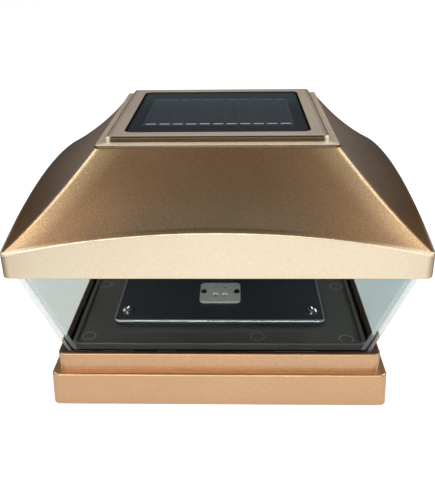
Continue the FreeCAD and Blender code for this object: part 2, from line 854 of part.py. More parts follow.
# ---------------------------------------------------------------- solar panel
def solar_panel():
    ring("panel_tape", "panel_ledge", "tape_thickness", "panel_width - 2 * tape_inset",
         "panel_width - 2 * tape_inset - 2 * tape_width", "window_corner")
    board = new_body("panel_board")
    slab(board, "panel_backing", "backing_bottom", "backing_thickness", "panel_width",
         radius="panel_corner")
    first = "-(cell_count - 1) * cell_pitch / 2"
    row = "(cell_count - 1) * cell_pitch"
    cells = new_body("solar_cells")
    strip = slab(cells, "strip", "panel_face", "cell_thickness", "cell_width", "cell_length",
                 centre=(first, "0"))
    in_rows(cells, [strip], across=row, counts=("cell_count", "1"))
    bars = new_body("busbars")
    dash = slab(bars, "dash", "panel_face + cell_thickness", "busbar_thickness", "busbar_length",
                "busbar_width", centre=(first, "-busbar_reach"))
    in_rows(bars, [dash], across=row, along="2 * busbar_reach", counts=("cell_count", "2"))
    cover = new_body("panel_cover")
    slab(cover, "resin", "panel_face", "cover_top - panel_face", "panel_width", radius="panel_corner")
    slot(cover, "cell_space", "panel_face", "cell_thickness + busbar_thickness",
         "cell_pitch * cell_count + 2 * cell_margin", "cell_length + 2 * cell_margin")
    round_edges(cover, "resin_edge", "cover_round", at_level("cover_top"))


# ---------------------------------------------------------------- equipment box
def equipment_box():
    body = new_body("equipment_box")
    bottom = "deck_bottom"
    slab(body, "box", bottom, "box_top - deck_bottom", "box_width", radius="box_corner")
    slab(body, "flange", "base_height", "flange_thickness", "flange_width", radius="box_corner")
    slot(body, "box_hollow", "box_inside", "box_top - deck_bottom", "box_width - 2 * box_wall",
         radius="box_inner_corner")
    # four towers under the light plate's screws
    tower = post(body, "tower", "box_inside", "box_top - box_inside", "tower_width", TOWER_CORNER)
    in_rows(body, [tower], across="tower_across", along="tower_along")
    depth = "(plate_screw_length - plate_top + box_top + 2)"
    hole = bore(body, "tower_hole", f"box_top - {depth}", depth, pilot("plate_screw"), TOWER_CORNER)
    in_rows(body, [hole], across="tower_across", along="tower_along")
    hole = bore(body, "flange_pass", "base_height", "flange_thickness", clear_hole("flange_screw"),
                FLANGE_CORNER)
    in_rows(body, [hole], across="2 * flange_screw_x", along="flange_screw_along")
    # cup that takes the tube's lower nut
    post(body, "cup", "box_inside", "cup_roof + cup_wall - box_inside", "cup_width + 2 * cup_wall")
    bore(body, "cup_hollow", bottom, "cup_roof - deck_bottom", "cup_width")
    bore(body, "cup_pass", "cup_roof", "cup_wall", "tube_pass")
    # battery bay: a thick frame, open below for the door
    slab(body, "bay", "box_inside", "bay_top - box_inside", "bay_across + 2 * bay_wall",
         "bay_along + 2 * bay_wall", centre=BAY)
    slot(body, "bay_hollow", bottom, "bay_top - deck_bottom", "bay_across", "bay_along", centre=BAY)
    slot(body, "door_seat", bottom, "door_thickness", "bay_across + 2 * door_lap",
         "bay_along + 2 * door_lap", centre=BAY)
    # seat and boss of the door's lug
    post(body, "lug_boss_post", "box_inside", "lug_boss_height", "lug_boss", LUG)
    slot(body, "lug_seat", bottom, "lug_thickness + door_gap", "lug_across + 2 * door_gap",
         "lug_along + 2 * door_gap", centre=LUG)
    bore(body, "door_screw_hole", "deck_bottom + lug_thickness + door_gap",
         "door_screw_length - lug_thickness + lug_sink + screw_end_gap", pilot("door_screw"), LUG)
    # notches for the door's tongues, behind the hinge edge
    notch = slot(body, "notch", "deck_bottom + door_thickness", "notch_depth", "notch_across",
                 "notch_along", centre=("tongue_x", "bay_edge - notch_step"))
    in_rows(body, [notch], across="tongue_spacing")
    # switch window with a finger dish
    slot(body, "switch_window", bottom, "box_floor", "knob_across + switch_travel + 2 * slide_end_play",
         "knob_along + 2 * slide_play", centre=SWITCH)
    slot(body, "switch_dish", bottom, "dish_depth", "dish_across", "dish_along", radius="dish_corner",
         centre=SWITCH)
    # pegs for the control board
    rise = "control_bottom - box_inside"
    peg = post(body, "peg", "box_inside", rise, "peg_width", PEG_CORNER)
    in_rows(body, [peg], across="peg_across", along="peg_along")
    hole = bore(body, "peg_hole", "box_inside", rise, pilot("circuit_screw"), PEG_CORNER)
    in_rows(body, [hole], across="peg_across", along="peg_along")
    return body


def battery_door():
    body = new_body("battery_door")
    bottom = "deck_bottom"
    slab(body, "door", bottom, "door_thickness", "bay_across + 2 * (door_lap - door_gap)",
         "bay_along + 2 * (door_lap - door_gap)", centre=BAY)
    slab(body, "lug", bottom, "lug_thickness", "lug_across", "lug_along", centre=LUG)
    slab(body, "lug_link", bottom, "door_thickness", "lug_across", "lug_neck",
         centre=("lug_x", "lug_y - lug_along / 2"))
    bore(body, "lug_hole", bottom, "lug_thickness", clear_hole("door_screw"), LUG)
    bore(body, "lug_sunk", bottom, "lug_sink", "door_screw_head + pass_gap", LUG)
    tongue = slab(body, "tongue", "deck_bottom + door_thickness", "tongue_thickness", "tongue_across",
                  "tongue_along", centre=("tongue_x", "bay_edge - tongue_step"))
    in_rows(body, [tongue], across="tongue_spacing")
    groove = slot(body, "grip", bottom, "grip_depth", "grip_across", "grip_width",
                  centre=("bay_middle", "bay_centre + grip_step"))
    in_rows(body, [groove], along="(grip_count - 1) * grip_pitch", counts=("1", "grip_count"))
    return body


# ---------------------------------------------------------------- light plate and boards
def light_plate():
    body = new_body("light_plate")
    depth = "plate_top - plate_bottom"
    slab(body, "plate", "plate_bottom", depth, "plate_width", radius="plate_corner")
    bore(body, "plate_tube_pass", "plate_bottom", depth, "tube_pass")
    hole = bore(body, "plate_screw_pass", "plate_bottom", depth, clear_hole("plate_screw"), TOWER_CORNER)
    in_rows(body, [hole], across="tower_across", along="tower_along")
    small = bore(body, "board_screw_pilot", "plate_bottom", depth, pilot("board_screw"),
                 ("-board_screw", "-board_reach"))
    in_rows(body, [small], across="2 * board_screw", along="2 * board_reach")
    lead = bore(body, "board_lead_pass", "plate_bottom", depth, "lead_pass", ("0", "-lead_pass_reach"))
    in_rows(body, [lead], along="2 * lead_pass_reach", counts=("1", "2"))
    round_edges(body, "plate_rim", "plate_edge", beyond("plate_top", "box_width / 2"))
    return body


def light_boards():
    boards = new_body("light_boards")
    features = [slab(boards, "light_board", "plate_top", "board_thickness", "board_across", "board_along",
                     radius="board_corner", centre=("0", "-board_reach"))]
    for tag, side in (("left", "-"), ("right", "")):
        features.append(bore(boards, f"light_board_hole_{tag}", "plate_top", "board_thickness",
                             clear_hole("board_screw"), (f"{side}board_screw", "-board_reach")))
    in_rows(boards, features, along="2 * board_reach", counts=("1", "2"))
    corner = ("-led_pitch / 2", "-board_reach")
    packages = new_body("led_packages")
    package = slab(packages, "led_package", "led_level", "led_height", "led_across", "led_along",
                   centre=corner)
    in_rows(packages, [package], across="led_pitch", along="2 * board_reach")
    domes = new_body("led_phosphors")
    dome = slab(domes, "led_phosphor", "led_level + led_height", "phosphor_height",
                "led_across - 2 * phosphor_rim", "led_along - 4 * phosphor_rim", radius="phosphor_corner",
                centre=corner)
    in_rows(domes, [dome], across="led_pitch", along="2 * board_reach")


# ---------------------------------------------------------------- round pieces
def screws(name, family, place, across=None, along=None, flip=False):
    """Pan-head screws in a rectangle of rows; the seat plane is the body's own origin plane."""
    head = f"{family}_head"
    dome = f"{family}_dome"
    shank = f"{family}_shank"
    length = f"{family}_length"
    body = new_body(name, place)
    out = "-" if flip else ""
    back = "" if flip else "-"
    profile = new_sketch(body, f"{name}_profile", plane="XZ_Plane")
    draw_profile(profile, (("0", f"{out}{dome}"), (f"{head} * {CROWN_SHARE}", f"{out}{dome}"),
                           (f"{head} / 2", f"{out}{dome} * {RIM_SHARE}"), (f"{head} / 2", "0"),
                           (f"{shank} / 2", "0"), (f"{shank} / 2", f"{back}{length}"),
                           ("0", f"{back}{length}")))
    turned = body.newObject("PartDesign::Revolution", f"{name}_turned")
    turned.Profile = profile
    turned.ReferenceAxis = (profile, ["V_Axis"])
    turned.Angle = 360
    doc.recompute()
    features = [turned]
    level = f"-{dome}" if flip else f"{dome} * {RIM_SHARE}"
    for tag, wide, deep in (("a", CROSS_LONG, CROSS_WIDE), ("b", CROSS_WIDE, CROSS_LONG)):
        cross = slot(body, f"{name}_recess_{tag}", level, f"{dome} * (1 - {RIM_SHARE})", f"{head} * {wide}",
                     f"{head} * {deep}")
        features.append(cross)
    if across:
        in_rows(body, features, across=across, along=along)
    return body


def hexagon(sketch, flats):
    """A six-sided outline about the sketch's own origin, held by its circle through the corners."""
    radius = size(flats) / math.sqrt(3)
    turns = [math.radians(60 * n) for n in range(6)]
    points = [Vector(radius * math.cos(turn), radius * math.sin(turn), 0) for turn in turns]
    for n in range(6):
        sketch.addGeometry(Part.LineSegment(points[n], points[(n + 1) % 6]), False)
    for n in range(6):
        hold(sketch, "Coincident", n, 2, (n + 1) % 6, 1)
        if n:
            hold(sketch, "Equal", 0, n)
    circle = sketch.addGeometry(Part.Circle(Vector(), Vector(0, 0, 1), radius), True)
    hold(sketch, "Coincident", circle, 3, -1, 1)
    for n in range(6):
        hold(sketch, "PointOnObject", n, 1, circle)
    hold(sketch, "PointOnObject", 0, 1, -1)
    hold(sketch, "Radius", circle, name="corner", text=f"{flats} / sqrt(3)")


def tube_and_nuts():
    tube = new_body("tie_tube")
    post(tube, "tube", "tube_bottom", "tube_top - tube_bottom", "tube_outer")
    bore(tube, "tube_bore", "tube_bottom", "tube_top - tube_bottom", "tube_inner")
    window = new_sketch(tube, "lead_window", "0", ("0", "lead_level"), plane="XZ_Plane")
    draw_circle(window, "tube_window")
    pocket(tube, window, "tube_outer")
    washer_bottom = "cup_roof - washer_thickness"
    nuts = new_body("tube_nuts")
    for n, level in enumerate(("reflector_top", "seal_top - nut_height", f"{washer_bottom} - nut_height")):
        sketch = new_sketch(nuts, f"nut{n}", level)
        hexagon(sketch, "nut_flats")
        pad(nuts, sketch, "nut_height")
        bore(nuts, f"nut_bore{n}", level, "nut_height", "tube_outer")
    washer = new_body("tube_washer")
    post(washer, "washer", washer_bottom, "washer_thickness", "washer_width")
    bore(washer, "washer_bore", washer_bottom, "washer_thickness", "tube_pass")


# ---------------------------------------------------------------- batteries, contacts, switch
def batteries():
    """Two cells side by side, head to tail, between four contact blades."""
    cells = new_body("battery_cells")
    for n, side in enumerate((-1, 1)):
        head = f"(bay_middle - {side} * (bay_across / 2 - contact_thickness))"
        row = f"(bay_centre + {side} * cell_spacing / 2)"
        for tag, first, length, diameter in (
                ("nub", head, "cell_nub", "cell_nub_width"),
                ("can", f"({head} + {side} * cell_nub)", "cell_body", "cell_diameter")):
            sketch = new_sketch(cells, f"cell_{tag}{n}", first, (row, "cell_axis"), plane="YZ_Plane")
            draw_circle(sketch, diameter)
            pad(cells, sketch, length, down=side < 0)
    doc.recompute()
    contacts = new_body("battery_contacts")
    end = "(bay_across - contact_thickness) / 2"
    for n, (side, row) in enumerate((("-", "-"), ("-", "+"), ("+", "-"), ("+", "+"))):
        slab(contacts, f"blade{n}", "deck_bottom + contact_lift", "contact_height", "contact_thickness",
             "contact_width", centre=(f"bay_middle {side} {end}", f"bay_centre {row} cell_spacing / 2"))
    slab(contacts, "bridge", "deck_bottom + bridge_lift", "bridge_height", "contact_thickness",
         "cell_spacing", centre=(f"bay_middle - {end}", "bay_centre"))
    return contacts


def contact_springs():
    """A coil at the flat end of each battery cell, between it and the contact blade."""
    wire = size("spring_wire")
    radius = size("spring_radius")
    room = size("bay_across - 2 * contact_thickness - cell_body - cell_nub")
    climb = room - wire - 2 * size("spring_gap")
    coils = []
    for side in (-1, 1):
        helix = Part.makeHelix(climb / size("spring_turns"), climb, radius)
        section = Part.Wire(Part.Circle(Vector(radius, 0, 0), Vector(0, 1, 0), wire / 2).toShape())
        coil = Part.Wire(helix).makePipeShell([section], True, True)
        blade = size("bay_middle") + side * size("bay_across / 2 - contact_thickness")
        start = Vector(blade - side * (wire / 2 + size("spring_gap")),
                       size("bay_centre") + side * size("cell_spacing") / 2, size("cell_axis"))
        coil.Placement = Placement(start, Rotation(Vector(0, 1, 0), -90 * side))
        coils.append(coil)
    return shaped("contact_springs", Part.makeCompound(coils))


def switch():
    body = new_body("switch_body")
    slab(body, "switch_can", "box_inside", "switch_height", "switch_across", "switch_along", centre=SWITCH)
    slot(body, "switch_track", "box_inside", "track_height",
         "carrier_across + switch_travel + 2 * slide_end_play", "carrier_along + 2 * slide_play",
         centre=SWITCH)
    slider = new_body("switch_slider")
    parked = ("switch_centre_x - switch_travel / 2", "switch_centre_y")
    slab(slider, "carrier", "box_inside + slide_gap", "carrier_height", "carrier_across", "carrier_along",
         centre=parked)
    slab(slider, "knob", "deck_bottom + slide_gap", "box_floor", "knob_across", "knob_along", centre=parked)


# ---------------------------------------------------------------- control board
def control_board():
    board = new_body("control_board")
    slab(board, "circuit", "control_bottom", "control_thickness", "control_across", "control_along",
         centre=("0", "control_centre"))
    hole = bore(board, "circuit_hole", "control_bottom", "control_thickness", clear_hole("circuit_screw"),
                PEG_CORNER)
    in_rows(board, [hole], across="peg_across", along="peg_along")
    chip = new_body("driver_chip")
    slab(chip, "chip", "control_top", "driver_height", "driver_across", "driver_along",
         centre=("driver_x", "control_centre + driver_y"))
    coil = new_body("inductor")
    post(coil, "coil", "control_top", "coil_height", "coil_width", ("coil_x", "control_centre + coil_y"))
    can = new_body("capacitor")
    post(can, "can", "control_top", "can_height", "can_width", ("can_x", "control_centre + can_y"))
    header = new_body("lead_header")
    slab(header, "header", "control_top", "header_height", "header_across", "header_along",
         centre=("0", "control_front + header_step"))
    plug = new_body("lead_plug")
    slab(plug, "plug", "control_top + plug_lift", "plug_height", "plug_across", "plug_along",
         centre=("0", "control_front + header_step - header_along / 2 - plug_along / 2"))


# ---------------------------------------------------------------- leads
def wire_along(name, points, diameter):
    """A round wire on straight runs joined by tangent arcs, each as large as its runs allow."""
    corners = [Vector(*point) for point in points]
    edges = []
    bends = []
    last = corners[0]
    for before, corner, after in zip(corners, corners[1:], corners[2:]):
        back = (before - corner).normalize()
        ahead = (after - corner).normalize()
        turn = math.pi - back.getAngle(ahead)
        reach = 0.45 * min((before - corner).Length, (after - corner).Length)
        radius = reach / math.tan(turn / 2)
        start = corner + back * reach
        end = corner + ahead * reach
        middle = (back + ahead).normalize()
        hub = corner + middle * (radius / math.cos(turn / 2))
        edges.append(Part.LineSegment(last, start).toShape())
        edges.append(Part.Arc(start, hub - middle * radius, end).toShape())
        bends.append(round(radius, 2))
        last = end
    edges.append(Part.LineSegment(last, corners[-1]).toShape())
    path = Part.Wire(edges)
    heading = corners[1] - corners[0]
    section = Part.Wire(Part.Circle(corners[0], heading, diameter / 2).toShape())
    tube = path.makePipeShell([section], True, False)
    expected = math.pi * diameter ** 2 / 4 * path.Length
    print(f"{name}: {path.Length:.1f} mm long, bends {bends}, volume {tube.Volume / expected:.3f}")
    return tube


def panel_lead():
    """From the panel's back down through the tie tube and out of its window to the plug."""
    backing = size("backing_bottom")
    low = size("lead_level")
    plug_back = size("control_front + header_step - header_along / 2 - plug_along")
    half = size("panel_wire_pitch") / 2
    wires = []
    for x in (-half, half):
        route = ((x, 16, backing), (x, 16, 106), (x, 0, 92), (x, 0, low), (x, plug_back, low))
        wires.append(wire_along("panel_lead", route, size("panel_wire")))
    shaped("panel_lead", Part.makeCompound(wires))


def board_leads():
    """From each light board through the plate, over the tube's cup and down to the control board."""
    plate = size("plate_top")
    reach = size("lead_pass_reach")
    board = size("control_top")
    half = size("board_wire_pitch") / 2
    run = 26.2
    column = 7.5
    wires = []
    for x in (-half, half):
        front = ((x, -reach, plate), (x, -reach, run), (column + x, -8, run), (column + x, 15.5, run),
                 (column + x, 15.5, board))
        back = ((0, reach + x, plate), (0, reach + x, run), (-column, reach + x, run),
                (-column, reach + x, board))
        wires.append(wire_along("board_leads", front, size("board_wire")))
        wires.append(wire_along("board_leads", back, size("board_wire")))
    shaped("board_leads", Part.makeCompound(wires))


def battery_leads():
    """From the battery contacts over the bay's roof and down to the control board."""
    blade = size("bay_middle + bay_across / 2")
    above = size("bay_top") + 0.9
    board = size("control_top")
    middle = size("bay_middle + bay_across / 2 + bay_wall + 2.4")
    half = size("battery_wire_pitch") / 2
    wires = []
    for row in (-1, 1):
        y = size("bay_centre") + row * size("cell_spacing") / 2
        column = middle - row * half
        route = ((blade, y, above), (column, y, above), (column, 22, above), (column, 22, board))
        wires.append(wire_along("battery_leads", route, size("battery_wire")))
    shaped("battery_leads", Part.makeCompound(wires))


def switch_leads():
    """From the top of the switch along the box's side to the control board."""
    can_top = size("box_inside + switch_height")
    above = can_top + 2.4
    board = size("control_top")
    y = size("switch_centre_y")
    half = size("battery_wire_pitch") / 2
    wires = []
    for x in (-half, half):
        column = size("switch_centre_x") - 0.8 + x
        route = ((column, y, can_top), (column, y, above), (column, 26, above), (column, 26, board))
        wires.append(wire_along("switch_leads", route, size("battery_wire")))
    shaped("switch_leads", Part.makeCompound(wires))


# ---------------------------------------------------------------- the whole light
def all_screws():
    screws("plate_screws", "plate_screw", (*TOWER_CORNER, "plate_top"), "tower_across", "tower_along")
    screws("board_screws", "board_screw", ("-board_screw", "-board_reach", "led_level"),
           "2 * board_screw", "2 * board_reach")
    screws("flange_screws", "flange_screw", (*FLANGE_CORNER, "base_height + flange_thickness"),
           "2 * flange_screw_x", "flange_screw_along")
    screws("circuit_screws", "circuit_screw", (*PEG_CORNER, "control_top"), "peg_across", "peg_along")
    screws("tray_screws", "tray_screw", (*TRAY_CORNER, "deck_bottom + tray_screw_sink"),
           "2 * tray_boss", "2 * tray_boss", flip=True)
    screws("hood_screws", "hood_screw", (*BOSS_CORNER, "seal_top"), "2 * boss_reach", "2 * boss_reach",
           flip=True)
    screws("door_screw", "door_screw", (*LUG, "deck_bottom + lug_sink"), flip=True)


def seals():
    ring("lens_seal_lower", "ledge_level", "foot_seal_height", "ledge_width",
         "lens_foot + 2 * lens_lean * foot_seal_height + 2 * seal_gap", "lens_corner",
         "lens_corner - (ledge_width - lens_foot) / 2")
    ring("lens_seal_upper", "lens_top", "seal_height", "lens_span - 2 * seal_gap",
         "lens_span - 2 * seal_gap - 2 * seal_width", "lens_corner")
    ring("plate_gasket", "box_top", "plate_bottom - box_top", "box_width", "box_width - 2 * box_wall",
         "box_corner")


base_shell()
floor_tray()
lens()
hood_shell()
reflector()
solar_panel()
equipment_box()
battery_door()
light_plate()
light_boards()
tube_and_nuts()
batteries()
contact_springs()
switch()
control_board()
seals()
all_screws()
panel_lead()
board_leads()
battery_leads()
switch_leads()
doc.recompute()

failed = [item.Name for item in doc.Objects if "Invalid" in item.State or "Error" in item.State]
for item in sub_parts:
    if item.Shape.isNull() or not item.Shape.isValid() or not item.Shape.Solids:
        failed.append(item.Label)
if failed:
    raise RuntimeError(f"failed: {failed}")
for item in sub_parts:
    item.Shape.exportStep(f"parts/{item.Label}.step")
    box = item.Shape.BoundBox
    print(f"{item.Label}: {len(item.Shape.Solids)} solids, {item.Shape.Volume:.0f} mm3, "
          f"z {box.ZMin:.2f} to {box.ZMax:.2f}")
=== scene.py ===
# %% [markdown]
# # A post cap light, dressed for its picture
# The solids of the light come from its CAD model.  This lesson gives them their paint, plastic,
# glass and metal, adds the small things that only show close up, and then sets up the table, the
# lamps and the camera.

# %% Load the solids
import math

import bmesh
import bpy
from mathutils import Matrix, Vector


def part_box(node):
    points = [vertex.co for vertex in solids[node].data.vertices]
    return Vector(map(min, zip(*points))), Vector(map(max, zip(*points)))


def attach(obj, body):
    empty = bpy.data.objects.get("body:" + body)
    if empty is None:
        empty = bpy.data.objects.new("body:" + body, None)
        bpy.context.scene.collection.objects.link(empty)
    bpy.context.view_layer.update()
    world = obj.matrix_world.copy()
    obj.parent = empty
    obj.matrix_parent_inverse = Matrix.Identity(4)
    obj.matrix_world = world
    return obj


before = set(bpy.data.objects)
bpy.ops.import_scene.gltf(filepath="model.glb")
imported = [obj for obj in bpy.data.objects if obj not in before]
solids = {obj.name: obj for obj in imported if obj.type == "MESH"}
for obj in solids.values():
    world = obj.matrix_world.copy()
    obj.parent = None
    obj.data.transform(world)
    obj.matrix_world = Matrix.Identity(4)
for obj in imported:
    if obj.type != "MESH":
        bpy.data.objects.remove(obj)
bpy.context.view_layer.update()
MM = 0.001
print(len(solids), "solids loaded")


# %% [markdown]
# ## Writing finishes as sums
# A finish is a small graph of nodes.  Drawing one by hand is clear on a screen but long in text,
# so a socket is wrapped in a class that knows plus, minus, times and power.  `1 - speckle` then
# adds a Math node by itself.

# %% A socket that can be added and scaled
class Reading:
    """A number or colour that changes over a surface."""

    def __init__(self, graph, socket):
        self.graph = graph
        self.socket = socket

    def maths(self, operation, *others, first=None):
        values = [self, *others] if first is None else [first, self]
        settings = {"operation": operation}
        return self.graph.node("ShaderNodeMath", settings, dict(enumerate(values)))

    def __add__(self, other):
        return self.maths("ADD", other)

    def __radd__(self, other):
        return self.maths("ADD", other)

    def __sub__(self, other):
        return self.maths("SUBTRACT", other)

    def __rsub__(self, other):
        return self.maths("SUBTRACT", first=other)

    def __mul__(self, other):
        return self.maths("MULTIPLY", other)

    def __truediv__(self, other):
        return self.maths("DIVIDE", other)

    def __pow__(self, other):
        return self.maths("POWER", other)

    def larger(self, other):
        return self.maths("MAXIMUM", other)

    def smaller(self, other):
        return self.maths("MINIMUM", other)

    def size(self):
        return self.maths("ABSOLUTE")

    def fade(self, start, end):
        """0 at start and before it, 1 at end and beyond, with a soft step between."""
        settings = {"interpolation_type": "SMOOTHSTEP"}
        return self.graph.node("ShaderNodeMapRange", settings,
                               {"Value": self, "From Min": start, "From Max": end})

    def fade_mm(self, start, end, level=0.0):
        """The same, with start and end in millimetres from a level."""
        return self.fade(level + start * MM, level + end * MM)


# %% A graph with one way to add a node
class Graph:
    """The nodes of one material or of the world."""

    def __init__(self, owner):
        owner.use_nodes = True
        self.tree = owner.node_tree

    def node(self, kind, settings=None, inputs=None, output=0):
        node = self.tree.nodes.new(kind)
        for name, value in (settings or {}).items():
            if name == "stops":
                self.fill_ramp(node.color_ramp, value)
            else:
                setattr(node, name, value)
        for name, value in (inputs or {}).items():
            self.feed(node.inputs[name], value)
        return Reading(self, node.outputs[output])

    def fill_ramp(self, ramp, stops):
        while len(ramp.elements) < len(stops):
            ramp.elements.new(1.0)
        for element, (place, grey) in zip(ramp.elements, stops):
            element.position = place
            element.color = (grey, grey, grey, 1.0)

    def feed(self, socket, value):
        if isinstance(value, Reading):
            self.tree.links.new(value.socket, socket)
        elif isinstance(value, (tuple, list)) and socket.type == "RGBA":
            socket.default_value = (*value, 1.0)
        else:
            socket.default_value = value

    def parts(self, vector):
        """The three numbers of a vector, each on its own."""
        return [self.node("ShaderNodeSeparateXYZ", inputs={0: vector}, output=n) for n in range(3)]

    def blend(self, factor, low, high, how="MIX"):
        settings = {"data_type": "RGBA", "clamp_factor": True, "blend_type": how}
        return self.node("ShaderNodeMix", settings, {0: factor, 6: low, 7: high}, output=2)

    def layers(self, colour, *coats):
        """Lay coats over a colour.  A coat is a mask and the colour that it shows."""
        for mask, top in coats:
            colour = self.blend(mask, colour, top)
        return colour

    def mix_shaders(self, factor, first, second):
        return self.node("ShaderNodeMixShader", inputs={0: factor, 1: first, 2: second})

    def asks(self, question):
        """What kind of ray is looking at this surface."""
        return self.node("ShaderNodeLightPath", output=question)

    def after_bounce(self, kind):
        """1 for rays that have already bounced off something glossy, or off something matt."""
        return self.asks(kind + " Depth").fade(0.4, 0.6)


# %% A finish: a graph that ends in a Principled shader
class Finish(Graph):
    """A material under construction."""

    def __init__(self, name, **sockets):
        self.material = bpy.data.materials.new(name)
        super().__init__(self.material)
        self.shader = self.tree.nodes["Principled BSDF"]
        self.set(**sockets)

    def set(self, **sockets):
        for name, value in sockets.items():
            self.feed(self.shader.inputs[name.replace("_", " ")], value)

    def paint_over(self, *coats):
        """Lay more coats over the colour that the shader has so far."""
        colour = Reading(self, self.shader.inputs["Base Color"].links[0].from_socket)
        self.set(Base_Color=self.layers(colour, *coats))

    def end_with(self, shader):
        self.tree.links.new(shader.socket, self.tree.nodes["Material Output"].inputs[0])

    def place(self):
        return self.node("ShaderNodeTexCoord", output="Object")

    def axes(self):
        return self.parts(self.place())

    def noise(self, scale, detail=2.0, stretch=None):
        where = self.place()
        if stretch:
            where = self.node("ShaderNodeMapping", inputs={"Vector": where, "Scale": stretch})
        settings = {"Vector": where, "Scale": scale, "Detail": detail}
        return self.node("ShaderNodeTexNoise", inputs=settings)

    def relief(self, height, depth, strength=0.5):
        settings = {"Height": height, "Distance": depth, "Strength": strength}
        self.set(Normal=self.node("ShaderNodeBump", inputs=settings))


# %% Ways to put a finish on solids
def dress(name, finish):
    """Give a whole CAD solid one finish."""
    slots = solids[name].data.materials
    slots.clear()
    slots.append(finish.material)


def dress_all(names, finish):
    for name in names.split():
        dress(name, finish)
    print(finish.material.name, "on", names)


def square_reach(x, y):
    """How far out a point lies, measured in squares round the middle."""
    return x.size().larger(y.size())


# %% [markdown]
# ## Bronze paint
# Hood and foot are moulded shells with a metallic paint.  Three things make it: a warm metal
# colour, flakes about a third of a millimetre wide that catch the light one by one, and a thin
# clear coat with a faint orange peel.  A plain metal would look machined, so the flakes change
# both the colour and the roughness.

# %% Bronze paint, with its flakes and its peel
FLAKE_SCALE = 2300
FLAKE_EDGE = (0.42, 0.66)
PEEL_SCALE = 420
CLOUD_SCALE = 22
FLAKE_SHARE, CLOUD_SHARE = 0.7, 0.6
FLAKE_HEIGHT = 0.4
SMOOTH_FLAKE, ROUGH_CLOUD = 0.08, 0.06
PAINT_DEPTH = 0.00003


class BronzePaint(Finish):
    """Metallic paint that waits for its colour."""

    def __init__(self, name, metal, rough):
        super().__init__(name, IOR=1.5, Coat_Roughness=0.12, Coat_Weight=0.15, Metallic=metal)
        self.flake = self.noise(FLAKE_SCALE, detail=1.0).fade(*FLAKE_EDGE)
        self.cloud = self.noise(CLOUD_SCALE, detail=3.0)
        self.set(Roughness=rough + self.cloud * ROUGH_CLOUD - self.flake * SMOOTH_FLAKE)
        peel = self.noise(PEEL_SCALE, detail=1.5)
        self.relief(self.flake * FLAKE_HEIGHT + peel, PAINT_DEPTH)

    def colour_with_flakes(self, colour, contrast, grain=1.0):
        """Darken and lighten a colour a little, flake by flake and cloud by cloud."""
        amount = (self.flake - 0.5) * FLAKE_SHARE + (self.cloud - 0.5) * CLOUD_SHARE
        shade = self.blend(amount * grain + 0.5, [1 - contrast] * 3, [1 + contrast] * 3)
        self.set(Base_Color=self.blend(1.0, colour, shade, how="MULTIPLY"))


# %% [markdown]
# ## The hood
# The upright skirt and the steps under the panel are painted paler, a painted highlight where they
# face the light.  The sloping roof is a deeper bronze, and its left and right faces are painted
# darker still, a painted shade.  Skirt and roof meet in a crease.  It is an arc, highest in the
# middle of each side, so its level is worked out from the distance along the side.

# %% Where on the hood a point lies
HOOD_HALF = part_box("hood_shell")[1][0]
CREASE_AT_CORNER = 80.3 * MM
CREASE_RISE = 10.1 * MM
CREASE_BLEND = (-0.4, 0.9)
HOOD_METAL = 0.88

hood = BronzePaint("hood_bronze", HOOD_METAL, 0.36)
hood_x, hood_y, hood_z = hood.axes()
along_side = hood_x.size().smaller(hood_y.size()) / HOOD_HALF
outwards = square_reach(hood_x, hood_y)
in_from_hip = hood_y.size() - hood_x.size()
crease = (1 - along_side * along_side) * CREASE_RISE + CREASE_AT_CORNER
over_crease = hood_z - crease
above_crease = over_crease.fade_mm(*CREASE_BLEND)
print("the hood is", round(2 * HOOD_HALF / MM, 1), "mm wide")

# %% [markdown]
# The colours then go on in coats, each with a mask that says where it shows.  The roof is painted
# a little paler low down in the middle of a side, a painted reflection, and the skirt is painted
# darker at its ends, a painted shade.  The hips get a painted highlight on the front and rear
# faces.  The painted shade of a left or right face goes on last, so that its dark edge runs
# cleanly along the hip.
#
# In the settings below, a pair of numbers says where a coat starts to show and where it shows in
# full: in millimetres, or as a part of the half side.  A share says how strongly it shows there.

# %% Painted pale skirt, deep roof, painted hip highlights and painted side shade
# The pale skirt colour is a painted highlight; the side colours are painted shade, darkest low
# down.
LIT_SKIRT_COLOUR = (0.76, 0.645, 0.475)
ROOF_COLOUR = (0.475, 0.285, 0.15)
LOW_ROOF_SHEEN_COLOUR = (0.56, 0.43, 0.27)
END_SHADE_COLOUR = (0.42, 0.28, 0.17)
HIP_HIGHLIGHT_COLOUR = (0.88, 0.62, 0.35)
SIDE_SHADE_COLOUR = (0.24, 0.13, 0.055)
SIDE_TOP_SHADE_COLOUR = (0.60, 0.46, 0.35)
LOW_ROOF_HEIGHT = (15, 2)
LOW_ROOF_MIDDLE = (0.65, 0.2)
LOW_ROOF_SHEEN_SHARE = 0.6
LAST_EDGE, LAST_EDGE_SHARE = (0.955, 0.985), 0.6
NEAR_END, NEAR_END_SHARE = (0.8, 1.0), 0.15
HIP_WIDTH = (17, 0)
HIP_START = (-0.6, 0.6)
HIP_HIGHLIGHT_SHARE, HIP_HIGHLIGHT_RISE = 0.68, 0.25
SIDE_START = (1.4, 0.2)
SIDE_HEIGHT = (84, 112)

# Painted reflection: the low middle of the roof is paler.  Painted shade: the skirt ends are
# darker.
low_roof_sheen = over_crease.fade_mm(*LOW_ROOF_HEIGHT) * along_side.fade(*LOW_ROOF_MIDDLE) * above_crease
last_edge = along_side.fade(*LAST_EDGE) * LAST_EDGE_SHARE
end_shade = last_edge + along_side.fade(*NEAR_END) * NEAR_END_SHARE
